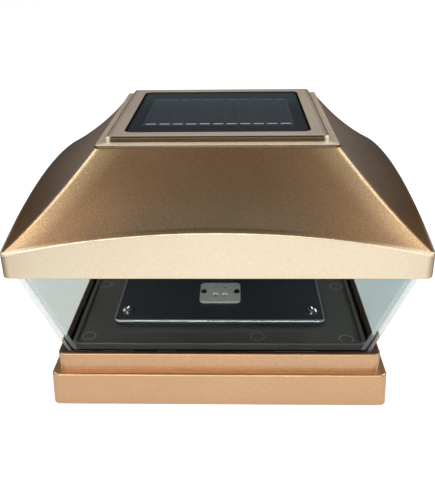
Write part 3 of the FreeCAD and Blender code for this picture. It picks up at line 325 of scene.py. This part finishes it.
# Painted highlight along the hips, on the front and rear faces.
hip_highlight = in_from_hip.fade_mm(*HIP_WIDTH) * in_from_hip.fade_mm(*HIP_START) * above_crease
upwards = hood_z.fade_mm(*SIDE_HEIGHT)
side_shade_colour = hood.blend(upwards, SIDE_SHADE_COLOUR, SIDE_TOP_SHADE_COLOUR)
hood_colour = hood.layers(
    LIT_SKIRT_COLOUR,
    (above_crease, ROOF_COLOUR),
    (low_roof_sheen * LOW_ROOF_SHEEN_SHARE, LOW_ROOF_SHEEN_COLOUR),
    (end_shade * (1 - above_crease), END_SHADE_COLOUR),
    (hip_highlight * (upwards * HIP_HIGHLIGHT_RISE + HIP_HIGHLIGHT_SHARE), HIP_HIGHLIGHT_COLOUR),
    (in_from_hip.fade_mm(*SIDE_START) * above_crease, side_shade_colour))

# %% The crease: a painted dark line in the middle of a side, a painted highlight towards the corners
SEAM_SHADE_COLOUR = (0.14, 0.09, 0.05)
FOLD_SHADE_COLOUR = (0.50, 0.37, 0.23)
EDGE_HIGHLIGHT_COLOUR = (1.0, 0.87, 0.66)
SEAM_START, SEAM_END = (0.2, 0.6), (1.7, 1.0)
SEAM_MIDDLE, SEAM_SHADE_SHARE = (0.55, 0.25), 0.6
FOLD_START, FOLD_END = (-0.6, -0.1), (1.3, 0.7)
FOLD_MIDDLE, FOLD_SHADE_SHARE = (0.80, 0.35), 0.7
CORNER_HIGHLIGHT_SPAN, CORNER_HIGHLIGHT_SHARE = (0.6, 0.95), 0.8

# The dark middle of the crease is painted shade; its bright ends are a painted highlight.
seam_shade = over_crease.fade_mm(*SEAM_START) * over_crease.fade_mm(*SEAM_END)
fold = over_crease.fade_mm(*FOLD_START) * over_crease.fade_mm(*FOLD_END)
hood_colour = hood.layers(
    hood_colour,
    (seam_shade * along_side.fade(*SEAM_MIDDLE) * SEAM_SHADE_SHARE, SEAM_SHADE_COLOUR),
    (fold * along_side.fade(*FOLD_MIDDLE) * FOLD_SHADE_SHARE, FOLD_SHADE_COLOUR),
    (fold * along_side.fade(*CORNER_HIGHLIGHT_SPAN) * CORNER_HIGHLIGHT_SHARE, EDGE_HIGHLIGHT_COLOUR))

# %% [markdown]
# Two flat steps carry the panel.  Their tops are painted pale, a painted highlight, and their
# edges and risers deep, a painted shade; each corner of the riser has a painted bright spot.  The
# step's shelf and the bright spot would mirror the dark room, so there the paint is less of a
# metal.

# %% The steps under the panel, with painted highlights and painted shade
EDGE_SIDE_SHADE_COLOUR = (0.66, 0.52, 0.37)
STEP_HIGHLIGHT_COLOUR = (0.86, 0.71, 0.56)
RISER_SHADE_COLOUR = (0.075, 0.05, 0.028)
SPOT_HIGHLIGHT_COLOUR = (0.95, 0.82, 0.62)
ROOF_TOP = 114.0 * MM
STEP_TOP = 115.7 * MM
CROWN_TOP = 118.3 * MM
CROWN_FLAT = 46.6 * MM
STEP_EDGE_HEIGHT = (0.0, 0.6)
STEP_FLAT_HEIGHT = (-0.30, -0.15)
RISER_HEIGHT = (0.02, 0.06)
CROWN_HEIGHT = (-0.20, -0.06)
CROWN_RIM = (-1.3, -0.9)
RISER_OUTSIDE = (0.0, 0.3)
SIDE_OF_HIP = (0.6, -0.6)
SPOT_SIZE = (2.6, 1.0)
LESS_METAL = -0.65
HOOD_CONTRAST = 0.30
SKIRT_GRAIN, MORE_ON_ROOF = 0.20, 0.80

step_edge = hood_z.fade_mm(*STEP_EDGE_HEIGHT, ROOF_TOP)
step_flat = hood_z.fade_mm(*STEP_FLAT_HEIGHT, STEP_TOP)
riser = hood_z.fade_mm(*RISER_HEIGHT, STEP_TOP)
crown = hood_z.fade_mm(*CROWN_HEIGHT, CROWN_TOP)
outer_riser = riser * (1 - crown) * outwards.fade_mm(*RISER_OUTSIDE, CROWN_FLAT)
highlight_spot = outer_riser * in_from_hip.size().fade_mm(*SPOT_SIZE)
edge_highlight_colour = hood.blend(in_from_hip.fade_mm(*SIDE_OF_HIP), EDGE_HIGHLIGHT_COLOUR, EDGE_SIDE_SHADE_COLOUR)
crown_highlight_colour = hood.blend(outwards.fade_mm(*CROWN_RIM, CROWN_FLAT), STEP_HIGHLIGHT_COLOUR, edge_highlight_colour)
# Pale tops, rims and corner spots are painted highlights; dark edges and risers are painted shade.
hood_colour = hood.layers(
    hood_colour,
    (step_edge, SEAM_SHADE_COLOUR),
    (step_flat, edge_highlight_colour),
    (riser, RISER_SHADE_COLOUR),
    (highlight_spot, SPOT_HIGHLIGHT_COLOUR),
    (crown, crown_highlight_colour))
hood.set(Metallic=(step_flat * (1 - riser) + highlight_spot) * LESS_METAL + HOOD_METAL)
hood.colour_with_flakes(hood_colour, HOOD_CONTRAST, above_crease * MORE_ON_ROOF + SKIRT_GRAIN)
dress_all("hood_shell", hood)

# %% [markdown]
# ## The foot
# The foot is a redder bronze.  Its top rim is painted darker, a painted shade under the hood, and
# inside the rim, where the lens stands, it is painted a darker brown still, also painted shade.

# %% The foot: copper sides, a rim in painted shade
FOOT_COLOUR = (0.57, 0.345, 0.19)
RIM_SHADE_COLOUR = (0.10, 0.055, 0.036)
INNER_RIM_SHADE_COLOUR = (0.055, 0.030, 0.022)
LEDGE = 24.1 * MM
RIM_SHADE_SHARE = 0.85
RIM_REACH, RIM_HEIGHT = (72.3, 71.9), (0.0, 0.6)
INNER_RIM_REACH, INNER_RIM_HEIGHT = (71.4, 71.0), (0.9, 0.0)
FOOT_CONTRAST = 0.10

foot = BronzePaint("foot_bronze", 0.82, 0.40)
foot_x, foot_y, foot_z = foot.axes()
from_middle = square_reach(foot_x, foot_y)
# Painted shade on the rim top and inside it, under the hood.
rim = from_middle.fade_mm(*RIM_REACH) * foot_z.fade_mm(*RIM_HEIGHT, LEDGE)
inner_rim_shade = from_middle.fade_mm(*INNER_RIM_REACH) * foot_z.fade_mm(*INNER_RIM_HEIGHT, LEDGE)
foot_colour = foot.layers(FOOT_COLOUR, (rim * RIM_SHADE_SHARE, RIM_SHADE_COLOUR), (inner_rim_shade, INNER_RIM_SHADE_COLOUR))
foot.colour_with_flakes(foot_colour, FOOT_CONTRAST)
dress_all("base_shell", foot)


# %% [markdown]
# ## The clear lens
# The lens is clear acrylic, two millimetres thick, with a grey cast.  Its left wall is tinted
# lighter than its right, a painted light.  Glass in a path tracer blocks lamps, which would leave
# the tray black.  So rays that ask for a shadow, and rays that have bounced off something matt,
# see a tinted film instead.  Where two walls meet, the corner shows as a pale line: a painted
# highlight, drawn with a pale matt shader.

# %% A shader that light can pass
CORNER_FILM = (0.97, 0.98, 0.98)
CORNER_GLINT_COLOUR = (0.90, 0.93, 0.93)
CORNER_GLINT_SHARE = 0.3


def see_through(finish, tint, corner=None):
    """End a glassy finish; a corner mask adds a painted highlight, a pale matt line."""
    film = finish.node("ShaderNodeBsdfTransparent", inputs={"Color": tint})
    glass = Reading(finish, finish.shader.outputs[0])
    if corner is not None:
        # The pale matt corner is a painted highlight.
        thin = finish.node("ShaderNodeBsdfTransparent", inputs={"Color": CORNER_FILM})
        cloud = finish.node("ShaderNodeBsdfDiffuse", inputs={"Color": CORNER_GLINT_COLOUR})
        corner_glint = finish.mix_shaders(CORNER_GLINT_SHARE, thin, cloud)
        glass = finish.mix_shaders(corner, glass, corner_glint)
    light_only = finish.asks("Is Shadow Ray").larger(finish.after_bounce("Diffuse"))
    finish.end_with(finish.mix_shaders(light_only, glass, film))


# %% Acrylic for the lens, resin for the panel
LEFT_LIT_TINT = (0.66, 0.70, 0.68)
RIGHT_SHADED_TINT = (0.54, 0.61, 0.61)
HAZE_TINT = (0.80, 0.82, 0.82)
HAZE_SHARE = 0.3
LENS_FILM = (0.93, 0.945, 0.94)
LENS_SIDES = (-70, 70)
GLINT_CORNER_WIDTH, GLINT_CORNER_SHARE = (3.4, 2.6), 0.85
RESIN_FILM = (0.8, 0.85, 0.88)

acrylic = Finish("clear_lens", Transmission_Weight=1.0, IOR=1.03)
haze = acrylic.noise(60)
lens_x, lens_y, _ = acrylic.axes()
# The left wall is tinted lighter than the right: painted light.
lit_wall_tint = acrylic.blend(lens_x.fade_mm(*LENS_SIDES), LEFT_LIT_TINT, RIGHT_SHADED_TINT)
lit_wall_tint = acrylic.blend(haze * HAZE_SHARE, lit_wall_tint, HAZE_TINT)
acrylic.set(Base_Color=lit_wall_tint, Roughness=0.012 + haze * 0.02)
from_corner = (lens_x.size() - lens_y.size()).size()
# The corner mask draws a painted highlight along the lens corners.
see_through(acrylic, LENS_FILM, from_corner.fade_mm(*GLINT_CORNER_WIDTH) * GLINT_CORNER_SHARE)
dress_all("lens", acrylic)

resin = Finish("clear_resin", Transmission_Weight=1.0, IOR=1.05)
ripple = resin.noise(90, detail=1.0)
resin_tint = resin.blend(ripple, (0.90, 0.94, 0.96), (0.95, 0.97, 0.98))
resin.set(Base_Color=resin_tint, Roughness=0.03 + ripple * 0.04)
see_through(resin, RESIN_FILM)
dress_all("panel_cover", resin)


# %% [markdown]
# ## Two families of finish
# Nearly every other piece is plated metal or moulded plastic.  Metal has fine brushing and dull
# patches.  Plastic has a fine grain in height and a slow change in tone.

# %% Plated metal and moulded plastic
BRUSH_SCALE, BRUSH_DEPTH = 900, 0.00001
PATCH_SCALE, PATCH_ROUGHNESS = 100, 0.18
TONE_SCALE, TONE_ROUGHNESS = 45, 0.10


def plated(name, deep, bright, rough, metal=1.0):
    """Plated metal, from its deepest to its brightest tone."""
    finish = Finish(name, Metallic=metal)
    brushing = finish.noise(BRUSH_SCALE, detail=3.0)
    patch = finish.noise(PATCH_SCALE)
    finish.set(Base_Color=finish.blend(brushing, deep, bright),
               Roughness=rough + patch * PATCH_ROUGHNESS)
    finish.relief(brushing, BRUSH_DEPTH)
    return finish


def moulded(name, deep, bright, rough, grain=1400, depth=0.00004, ior=1.5):
    """Moulded plastic, with the scale and the depth of its grain."""
    finish = Finish(name, IOR=ior)
    skin = finish.noise(grain)
    tone = finish.noise(TONE_SCALE, detail=3.0)
    finish.set(Base_Color=finish.blend(tone, deep, bright),
               Roughness=rough + tone * TONE_ROUGHNESS)
    finish.relief(skin, depth)
    return finish


# %% [markdown]
# ## The solar panel
# Each strip of silicon is cut from a cell: blue-black, with hair-fine silver lines across it.
# The lines are too fine to model, so they are drawn by repeating the height of a wave along the
# strip.  Cells and board are painted paler towards the back, a painted reflection, and of the two
# rows of silver bars the one at the back is painted dull, a painted shade.

# %% Silicon strips, busbars and the board under them
CRYSTAL_SCALE = 300
LINES_PER_METRE = 620
LINE_EDGE = (0.93, 0.99)
LINE_TINT, LINE_SHARE, LINE_METAL = (0.30, 0.34, 0.38), 0.2, 0.15
# Paler colours towards the back are a painted reflection.
CELL_BACK_SHEEN = (0.026, 0.052, 0.060)
BOARD_BACK_SHEEN = (0.044, 0.064, 0.068)
BACK_BAR_SHADE, BACK_BAR_SHADE_SHARE = (0.05, 0.06, 0.075), 0.85
BACK_SHEEN_SPAN = (0, 34)
BACK_ROW = (0, 10)

silicon = Finish("solar_cell", Roughness=0.4, IOR=1.03)
_, cell_y, _ = silicon.axes()
line = (cell_y * (LINES_PER_METRE * math.tau)).maths("SINE").fade(*LINE_EDGE)
crystal = silicon.noise(CRYSTAL_SCALE, detail=3.0)
cell_colour = silicon.blend(crystal, (0.005, 0.012, 0.019), (0.009, 0.019, 0.030))
back_sheen = cell_y.fade_mm(*BACK_SHEEN_SPAN)
cell_colour = silicon.layers(cell_colour, (back_sheen, CELL_BACK_SHEEN), (line * LINE_SHARE, LINE_TINT))
silicon.set(Base_Color=cell_colour, Metallic=line * LINE_METAL)
dress_all("solar_cells", silicon)

bars = plated("silver_line", (0.93, 0.94, 0.95), (0.99, 0.99, 1.0), 0.3, metal=0.05)
# The back row of bars is painted dull: painted shade.
bars.paint_over((bars.axes()[1].fade_mm(*BACK_ROW) * BACK_BAR_SHADE_SHARE, BACK_BAR_SHADE))
dress_all("busbars", bars)

board = moulded("panel_board", (0.017, 0.022, 0.025), (0.030, 0.037, 0.042), 0.35, ior=1.08)
# The board is painted paler towards the back: a painted reflection.
board.paint_over((board.axes()[1].fade_mm(*BACK_SHEEN_SPAN), BOARD_BACK_SHEEN))
dress_all("panel_board", board)


# %% [markdown]
# ## Tray and plate
# The tray is a smoked, polished moulding, and the plate above it is blue-black and just as
# shiny.  Both mirror the underside of the hood softly, so they have a low roughness.  The plate's
# rolled rim is painted near white and metallic, a painted highlight, and the tray keeps the round
# marks of its ejector pins, as rings in its relief and in its colour.

# %% The plate, with a painted highlight on its rolled rim
POLISHED_GRAIN, POLISHED_DEPTH = 700, 0.000004
PLATE_HALF = 50.7 * MM
PLATE_TOP = 29.3 * MM
RIM_START = (-1.0, -0.7)
RIM_HIGHLIGHT_COLOUR, RIM_HIGHLIGHT_METAL = (0.96, 0.97, 0.97), 0.8

plate = moulded("plate_plastic", (0.044, 0.049, 0.060), (0.060, 0.066, 0.079), 0.05,
                POLISHED_GRAIN, POLISHED_DEPTH)
plate_x, plate_y, plate_z = plate.axes()
# The rim's near-white metallic colour is a painted highlight.
rim_highlight = square_reach(plate_x, plate_y).fade_mm(*RIM_START, PLATE_HALF)
rim_highlight = rim_highlight * plate_z.fade_mm(*RIM_START, PLATE_TOP)
plate.set(Metallic=rim_highlight * RIM_HIGHLIGHT_METAL)
plate.paint_over((rim_highlight, RIM_HIGHLIGHT_COLOUR))
dress_all("light_plate", plate)

# %% The tray with its pin marks
MARKS = ((-61, -59), (-62, -8), (18, -59), (59, -61), (61, -10))
MARK_RADIUS = 3.2 * MM
MARK_WIDTH = (0.35, 0.1)
MARK_TINT, MARK_SHARE = (0.42, 0.42, 0.40), 0.6
MARK_DEPTH = 0.00008
GRAIN_SHARE = 0.12

tray = moulded("smoked_plastic", (0.115, 0.109, 0.100), (0.150, 0.143, 0.132), 0.12)
tray_x, tray_y, _ = tray.axes()
rings = None
for mark_x, mark_y in MARKS:
    off_x = tray_x - mark_x * MM
    off_y = tray_y - mark_y * MM
    from_ring = ((off_x * off_x + off_y * off_y) ** 0.5 - MARK_RADIUS).size()
    ring = from_ring.fade_mm(*MARK_WIDTH)
    rings = ring if rings is None else rings + ring
tray.relief(tray.noise(POLISHED_GRAIN) * GRAIN_SHARE + rings, MARK_DEPTH)
tray.paint_over((rings * MARK_SHARE, MARK_TINT))
dress_all("floor_tray", tray)

# %% [markdown]
# ## Seals
# The seals are clear too, and their tint is painted the dark bronze that shows behind them, a
# painted reflection, with paler runs along their length as painted highlights.

# %% Clear silicone
silicone = Finish("clear_silicone", Transmission_Weight=0.85, IOR=1.4)
glint_runs = silicone.noise(90, detail=1.0, stretch=(1.0, 1.0, 0.1)).fade(0.52, 0.62)
# Dark bronze tint and paler runs: a painted reflection and painted highlights.
painted_seal_tint = silicone.blend(glint_runs, (0.22, 0.11, 0.09), (0.72, 0.62, 0.60))
silicone.set(Base_Color=painted_seal_tint, Roughness=0.12 + glint_runs * 0.2)
dress_all("lens_seal_lower lens_seal_upper", silicone)

# %% [markdown]
# ## Everything else, from a table
# The other plastic and metal pieces need no mask of their own.  Each row names the solids and
# their finish, its two tones and its roughness.  Some plastics add how fine and how deep their
# grain is.

# %% Plastics, boards, chips and cells
PLASTICS = (
    ("panel_tape", "foam_tape", (0.01, 0.01, 0.01), (0.03, 0.03, 0.03), 0.8, 900, 0.0001),
    ("equipment_box", "box_plastic", (0.018, 0.018, 0.019), (0.035, 0.035, 0.037), 0.5),
    ("battery_door", "door_plastic", (0.024, 0.024, 0.025), (0.045, 0.045, 0.047), 0.48),
    ("reflector", "satin_reflector", (0.20, 0.20, 0.195), (0.26, 0.26, 0.255), 0.35),
    ("plate_gasket", "black_rubber", (0.010, 0.010, 0.010), (0.022, 0.022, 0.022), 0.65),
    ("light_boards", "board_mask", (0.86, 0.85, 0.82), (0.94, 0.93, 0.90), 0.35, 1800, 0.00002),
    ("led_packages", "led_white", (0.84, 0.84, 0.80), (0.93, 0.93, 0.90), 0.3),
    ("led_phosphors", "led_phosphor", (0.94, 0.91, 0.66), (0.98, 0.95, 0.74), 0.25),
    ("control_board", "circuit_green",
     (0.01, 0.09, 0.035), (0.02, 0.15, 0.06), 0.3, 2000, 0.00003),
    ("driver_chip inductor", "chip_black", (0.012, 0.012, 0.012), (0.03, 0.03, 0.03), 0.5),
    ("lead_header lead_plug", "connector_white", (0.66, 0.64, 0.58), (0.78, 0.76, 0.70), 0.4),
    ("switch_body", "switch_black", (0.012, 0.012, 0.012), (0.03, 0.03, 0.03), 0.45),
    ("switch_slider", "switch_white", (0.66, 0.66, 0.64), (0.78, 0.78, 0.76), 0.35),
    ("battery_cells", "cell_sleeve", (0.03, 0.14, 0.06), (0.06, 0.24, 0.11), 0.22, 300, 0.00002),
)
for names, *look in PLASTICS:
    dress_all(names, moulded(*look))

# %% Plated metal
METALS = (
    ("tie_tube", "tube_steel", (0.46, 0.46, 0.46), (0.68, 0.68, 0.68), 0.25),
    ("tube_nuts tube_washer", "nut_steel", (0.50, 0.50, 0.48), (0.72, 0.72, 0.70), 0.25),
    ("battery_contacts contact_springs", "contact_nickel",
     (0.52, 0.51, 0.48), (0.76, 0.75, 0.70), 0.2),
    ("capacitor", "can_aluminium", (0.55, 0.56, 0.57), (0.76, 0.77, 0.78), 0.28),
    ("plate_screws flange_screws circuit_screws tray_screws hood_screws door_screw", "screw_steel",
     (0.46, 0.46, 0.46), (0.76, 0.76, 0.75), 0.07),
    ("board_screws", "screw_dark", (0.02, 0.02, 0.02), (0.06, 0.06, 0.06), 0.3),
)
for names, *look in METALS:
    dress_all(names, plated(*look))


# %% [markdown]
# ## Leads
# Every lead is a pair, red and black.  The two wires of a pair lie on either side of a line
# across X, so the side decides the colour.

# %% Red and black insulation
PAIRS = (
    ("panel_lead", "panel_wire", 0.0),
    ("board_leads", "board_wire", 7.5),
    ("battery_leads", "battery_wire", 32.0),
    ("switch_leads", "switch_wire", 36.2),
)
SHARP_CHANGE = (-0.01, 0.01)


def wire_pair(name, split_mm):
    wire = Finish(name, Roughness=0.45)
    tone = wire.noise(240)
    red = wire.blend(tone, (0.30, 0.012, 0.010), (0.42, 0.03, 0.02))
    black = wire.blend(tone, (0.010, 0.010, 0.010), (0.028, 0.028, 0.028))
    side = wire.axes()[0].fade_mm(*SHARP_CHANGE, split_mm * MM)
    wire.set(Base_Color=wire.blend(side, black, red))
    return wire


for names, wire_name, split in PAIRS:
    dress_all(names, wire_pair(wire_name, split))


# %% [markdown]
# ## Solder pads on the light boards
# Each LED sits between bright pads.  They are far too small for the CAD model.  A flat disc with
# a rounded rim is enough: a bmesh circle, extruded and drawn in at the top.

# %% Two helpers for new objects
def mesh_from(name, shape):
    mesh = bpy.data.meshes.new(name)
    shape.to_mesh(mesh)
    shape.free()
    return mesh


def add_object(name, data):
    thing = bpy.data.objects.new(name, data)
    bpy.context.scene.collection.objects.link(thing)
    return thing


# %% Bright pads around the LEDs
PAD_RADIUS = 0.95 * MM
PAD_HEIGHT = 0.35 * MM
PAD_TOP = (0.62, 0.62, 1.0)
PAD_ROW = 4.0 * MM
LED_HALF_PITCH = 2.275 * MM
BOARD_REACH = 24.5 * MM


def domed_disc(shape, centre):
    """A low round blob, its rim rolled over."""
    made = bmesh.ops.create_circle(shape, cap_ends=True, segments=16, radius=PAD_RADIUS,
                                   matrix=Matrix.Translation(centre))
    face = made["verts"][0].link_faces[0]
    top = bmesh.ops.extrude_face_region(shape, geom=[face])["geom"]
    raised = [item for item in top if isinstance(item, bmesh.types.BMVert)]
    bmesh.ops.translate(shape, verts=raised, vec=(0, 0, PAD_HEIGHT))
    bmesh.ops.scale(shape, verts=raised, vec=PAD_TOP, space=Matrix.Translation(-Vector(centre)))


def finish_piece(name, shape, finish, body):
    """Turn a bmesh into a piece of the light."""
    bmesh.ops.recalc_face_normals(shape, faces=shape.faces)
    mesh = mesh_from(name, shape)
    mesh.materials.append(finish.material)
    for polygon in mesh.polygons:
        polygon.use_smooth = True
    piece = add_object(name, mesh)
    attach(piece, body)
    print(name, len(mesh.polygons), "faces")


solder = plated("solder", (0.66, 0.66, 0.64), (0.88, 0.88, 0.86), 0.16)
board_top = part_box("light_boards")[1][2]
pads = bmesh.new()
for side in (-1, 1):
    for column in (-LED_HALF_PITCH, LED_HALF_PITCH):
        for row in (-PAD_ROW, PAD_ROW):
            domed_disc(pads, (column, side * BOARD_REACH + row, board_top))
finish_piece("solder_pads", pads, solder, "light")


# %% [markdown]
# ## The table
# The light stands on a white table.  The table keeps the object's shadow, and is bright enough to
# the camera to meet the white behind it without a line.  What mirrors the table sees it darker,
# but for one bright strip in front.  From below the table is clear, so that the underside of the
# light can be looked at.

# %% A white table that keeps the shadow
TABLE_HALF = 6.0
TABLE_GLOW = 0.66
TABLE_MIRRORED = 1.18
TABLE_EDGE = 0.10
STRIP_MIDDLE = 0.05
STRIP_SIDE = (0.50, 0.06)
STRIP_AHEAD = (0.0, -0.10)


def make_table():
    shape = bmesh.new()
    bmesh.ops.create_grid(shape, x_segments=1, y_segments=1, size=TABLE_HALF)
    table = add_object("table", mesh_from("table", shape))
    paper = Finish("white_table", Base_Color=(0.88, 0.88, 0.88), Roughness=0.9)
    side, ahead, _ = paper.axes()
    matt = Reading(paper, paper.shader.outputs[0])
    straight = 1 - paper.after_bounce("Diffuse")
    glow = paper.node("ShaderNodeEmission", inputs={"Strength": straight * TABLE_GLOW})
    plain_view = paper.node("ShaderNodeAddShader", inputs={0: matt, 1: glow})
    lit = (side - STRIP_MIDDLE).size().fade(*STRIP_SIDE) * ahead.fade(*STRIP_AHEAD)
    in_mirrors = lit * TABLE_MIRRORED + TABLE_EDGE
    strip = paper.node("ShaderNodeEmission", inputs={"Strength": in_mirrors})
    surface = paper.mix_shaders(paper.after_bounce("Glossy") * straight, plain_view, strip)
    beneath = paper.node("ShaderNodeNewGeometry", output="Backfacing")
    clear = paper.node("ShaderNodeBsdfTransparent")
    paper.end_with(paper.mix_shaders(beneath, surface, clear))
    paper.material.cycles.emission_sampling = "NONE"
    table.data.materials.append(paper.material)
    print("the table glows at", TABLE_GLOW)


make_table()

# %% [markdown]
# ## The room
# Behind the object the world is white to the eye.  What the paint and the gloss mirror is a room:
# pale at table height in front, with a window on each side, dimmer behind, and dark overhead and
# in the rear corners.  That is what gives the roof its depth.

# %% White behind the object, soft light from all round
ROOM_LIGHT = 0.45
ROOM_STOPS = ((0.0, 0.03), (0.14, 0.04), (0.34, 0.68), (0.50, 0.60), (0.72, 0.075), (1.0, 0.07))
FRONT_AHEAD, FRONT_UP, FRONT_TINT = (0.1, -0.7), (0.55, 0.1), (0.95, 0.95, 0.95)
CORNER_SIDE, CORNER_BEHIND, CORNER_TINT = (0.08, 0.36), (0.3, 0.6), (0.03, 0.025, 0.02)
WINDOW_SIDE, WINDOW_AHEAD, WINDOW_UP = (0.10, 0.70), (0.55, 0.2), (0.15, 0.45)
WINDOW_TINT = (1.0, 0.96, 0.90)
CORNER_SHARE, WINDOW_SHARE = 0.85, 0.9


def make_world():
    world = bpy.data.worlds.new("studio")
    bpy.context.scene.world = world
    room = Graph(world)
    room.tree.nodes.clear()
    sideways, ahead, up = room.parts(room.node("ShaderNodeTexCoord", output="Generated"))
    to_side = sideways.size()
    corner = to_side.fade(*CORNER_SIDE) * ahead.fade(*CORNER_BEHIND)
    window = to_side.fade(*WINDOW_SIDE) * ahead.fade(*WINDOW_AHEAD) * up.fade(*WINDOW_UP)
    mirrored = room.layers(
        room.node("ShaderNodeValToRGB", {"stops": ROOM_STOPS}, {0: up}),
        (corner * CORNER_SHARE, CORNER_TINT),
        (window * WINDOW_SHARE, WINDOW_TINT),
        (ahead.fade(*FRONT_AHEAD) * up.fade(*FRONT_UP), FRONT_TINT))
    soft = room.node("ShaderNodeBackground", inputs={"Strength": ROOM_LIGHT})
    gloss = room.node("ShaderNodeBackground", inputs={"Color": mirrored})
    white = room.node("ShaderNodeBackground", inputs={"Color": (1.0, 1.0, 1.0)})
    in_gloss = room.after_bounce("Glossy")
    straight = 1 - room.after_bounce("Diffuse")
    seen = room.asks("Is Camera Ray").larger(room.asks("Is Transmission Ray"))
    shaded = room.mix_shaders(in_gloss * straight, soft, gloss)
    both = room.mix_shaders(seen * (1 - in_gloss) * straight, shaded, white)
    out = room.tree.nodes.new("ShaderNodeOutputWorld")
    room.tree.links.new(both.socket, out.inputs[0])
    print("the room lights the table at", ROOM_LIGHT)


make_world()


# %% [markdown]
# ## Lamps
# A wide soft lamp above the camera draws the thin bright lines along rounded edges.  One lamp on
# each side, a little behind, lights the hips of the roof and leaves its faces dark.

# %% Soft lamps
LIT_POINT = Vector((0, 0, 0.06))


def soft_lamp(name, place, width, height, watts):
    light = bpy.data.lights.new(name, "AREA")
    light.shape = "RECTANGLE"
    light.size = width
    light.size_y = height
    light.energy = watts
    lamp = add_object(name, light)
    lamp.location = place
    lamp.rotation_euler = (LIT_POINT - Vector(place)).to_track_quat("-Z", "Y").to_euler()
    print(name, "at", place, "with", watts, "W")


soft_lamp("front_lamp", (-0.15, -1.10, 0.62), 1.1, 0.10, 7)
soft_lamp("left_lamp", (-1.0, 0.15, 0.85), 0.5, 0.5, 3.0)
soft_lamp("right_lamp", (1.05, 0.1, 0.85), 0.5, 0.5, 5.0)


# %% [markdown]
# ## Camera
# A pinhole camera was fitted to the edges of the real object: where it stood, how far it tipped
# down, and how long its lens was.  Three unit vectors, turned by the yaw and then the roll, make
# the camera's matrix.

# %% Where the picture was taken from
PICTURE_HEIGHT = 495
FOCAL_PIXELS = 667.26
PITCH = math.radians(25.11)
YAW = math.radians(1.781)
ROLL = math.radians(-0.801)
STAND = (8.18 * MM, -323.78 * MM, 195.61 * MM)
NEAREST_SEEN = 0.01


def make_camera():
    camera = bpy.data.cameras.new("camera")
    camera.sensor_width = 36.0
    camera.lens = FOCAL_PIXELS * camera.sensor_width / PICTURE_HEIGHT
    camera.clip_start = NEAREST_SEEN
    turn = Matrix.Rotation(YAW, 3, "Z")
    ahead = turn @ Vector((0, math.cos(PITCH), -math.sin(PITCH)))
    above = turn @ Vector((0, math.sin(PITCH), math.cos(PITCH)))
    right = turn @ Vector((1, 0, 0))
    level = math.cos(ROLL) * right + math.sin(ROLL) * above
    upright = -math.sin(ROLL) * right + math.cos(ROLL) * above
    matrix = Matrix((level, upright, -ahead)).transposed().to_4x4()
    matrix.translation = Vector(STAND)
    holder = add_object("camera", camera)
    holder.matrix_world = matrix
    bpy.context.scene.camera = holder
    print("camera lens", round(camera.lens, 2), "mm")


make_camera()
bpy.context.scene.view_settings.view_transform = "Standard"

# %% [markdown]
# ## End of the scene


print("the scene is set")
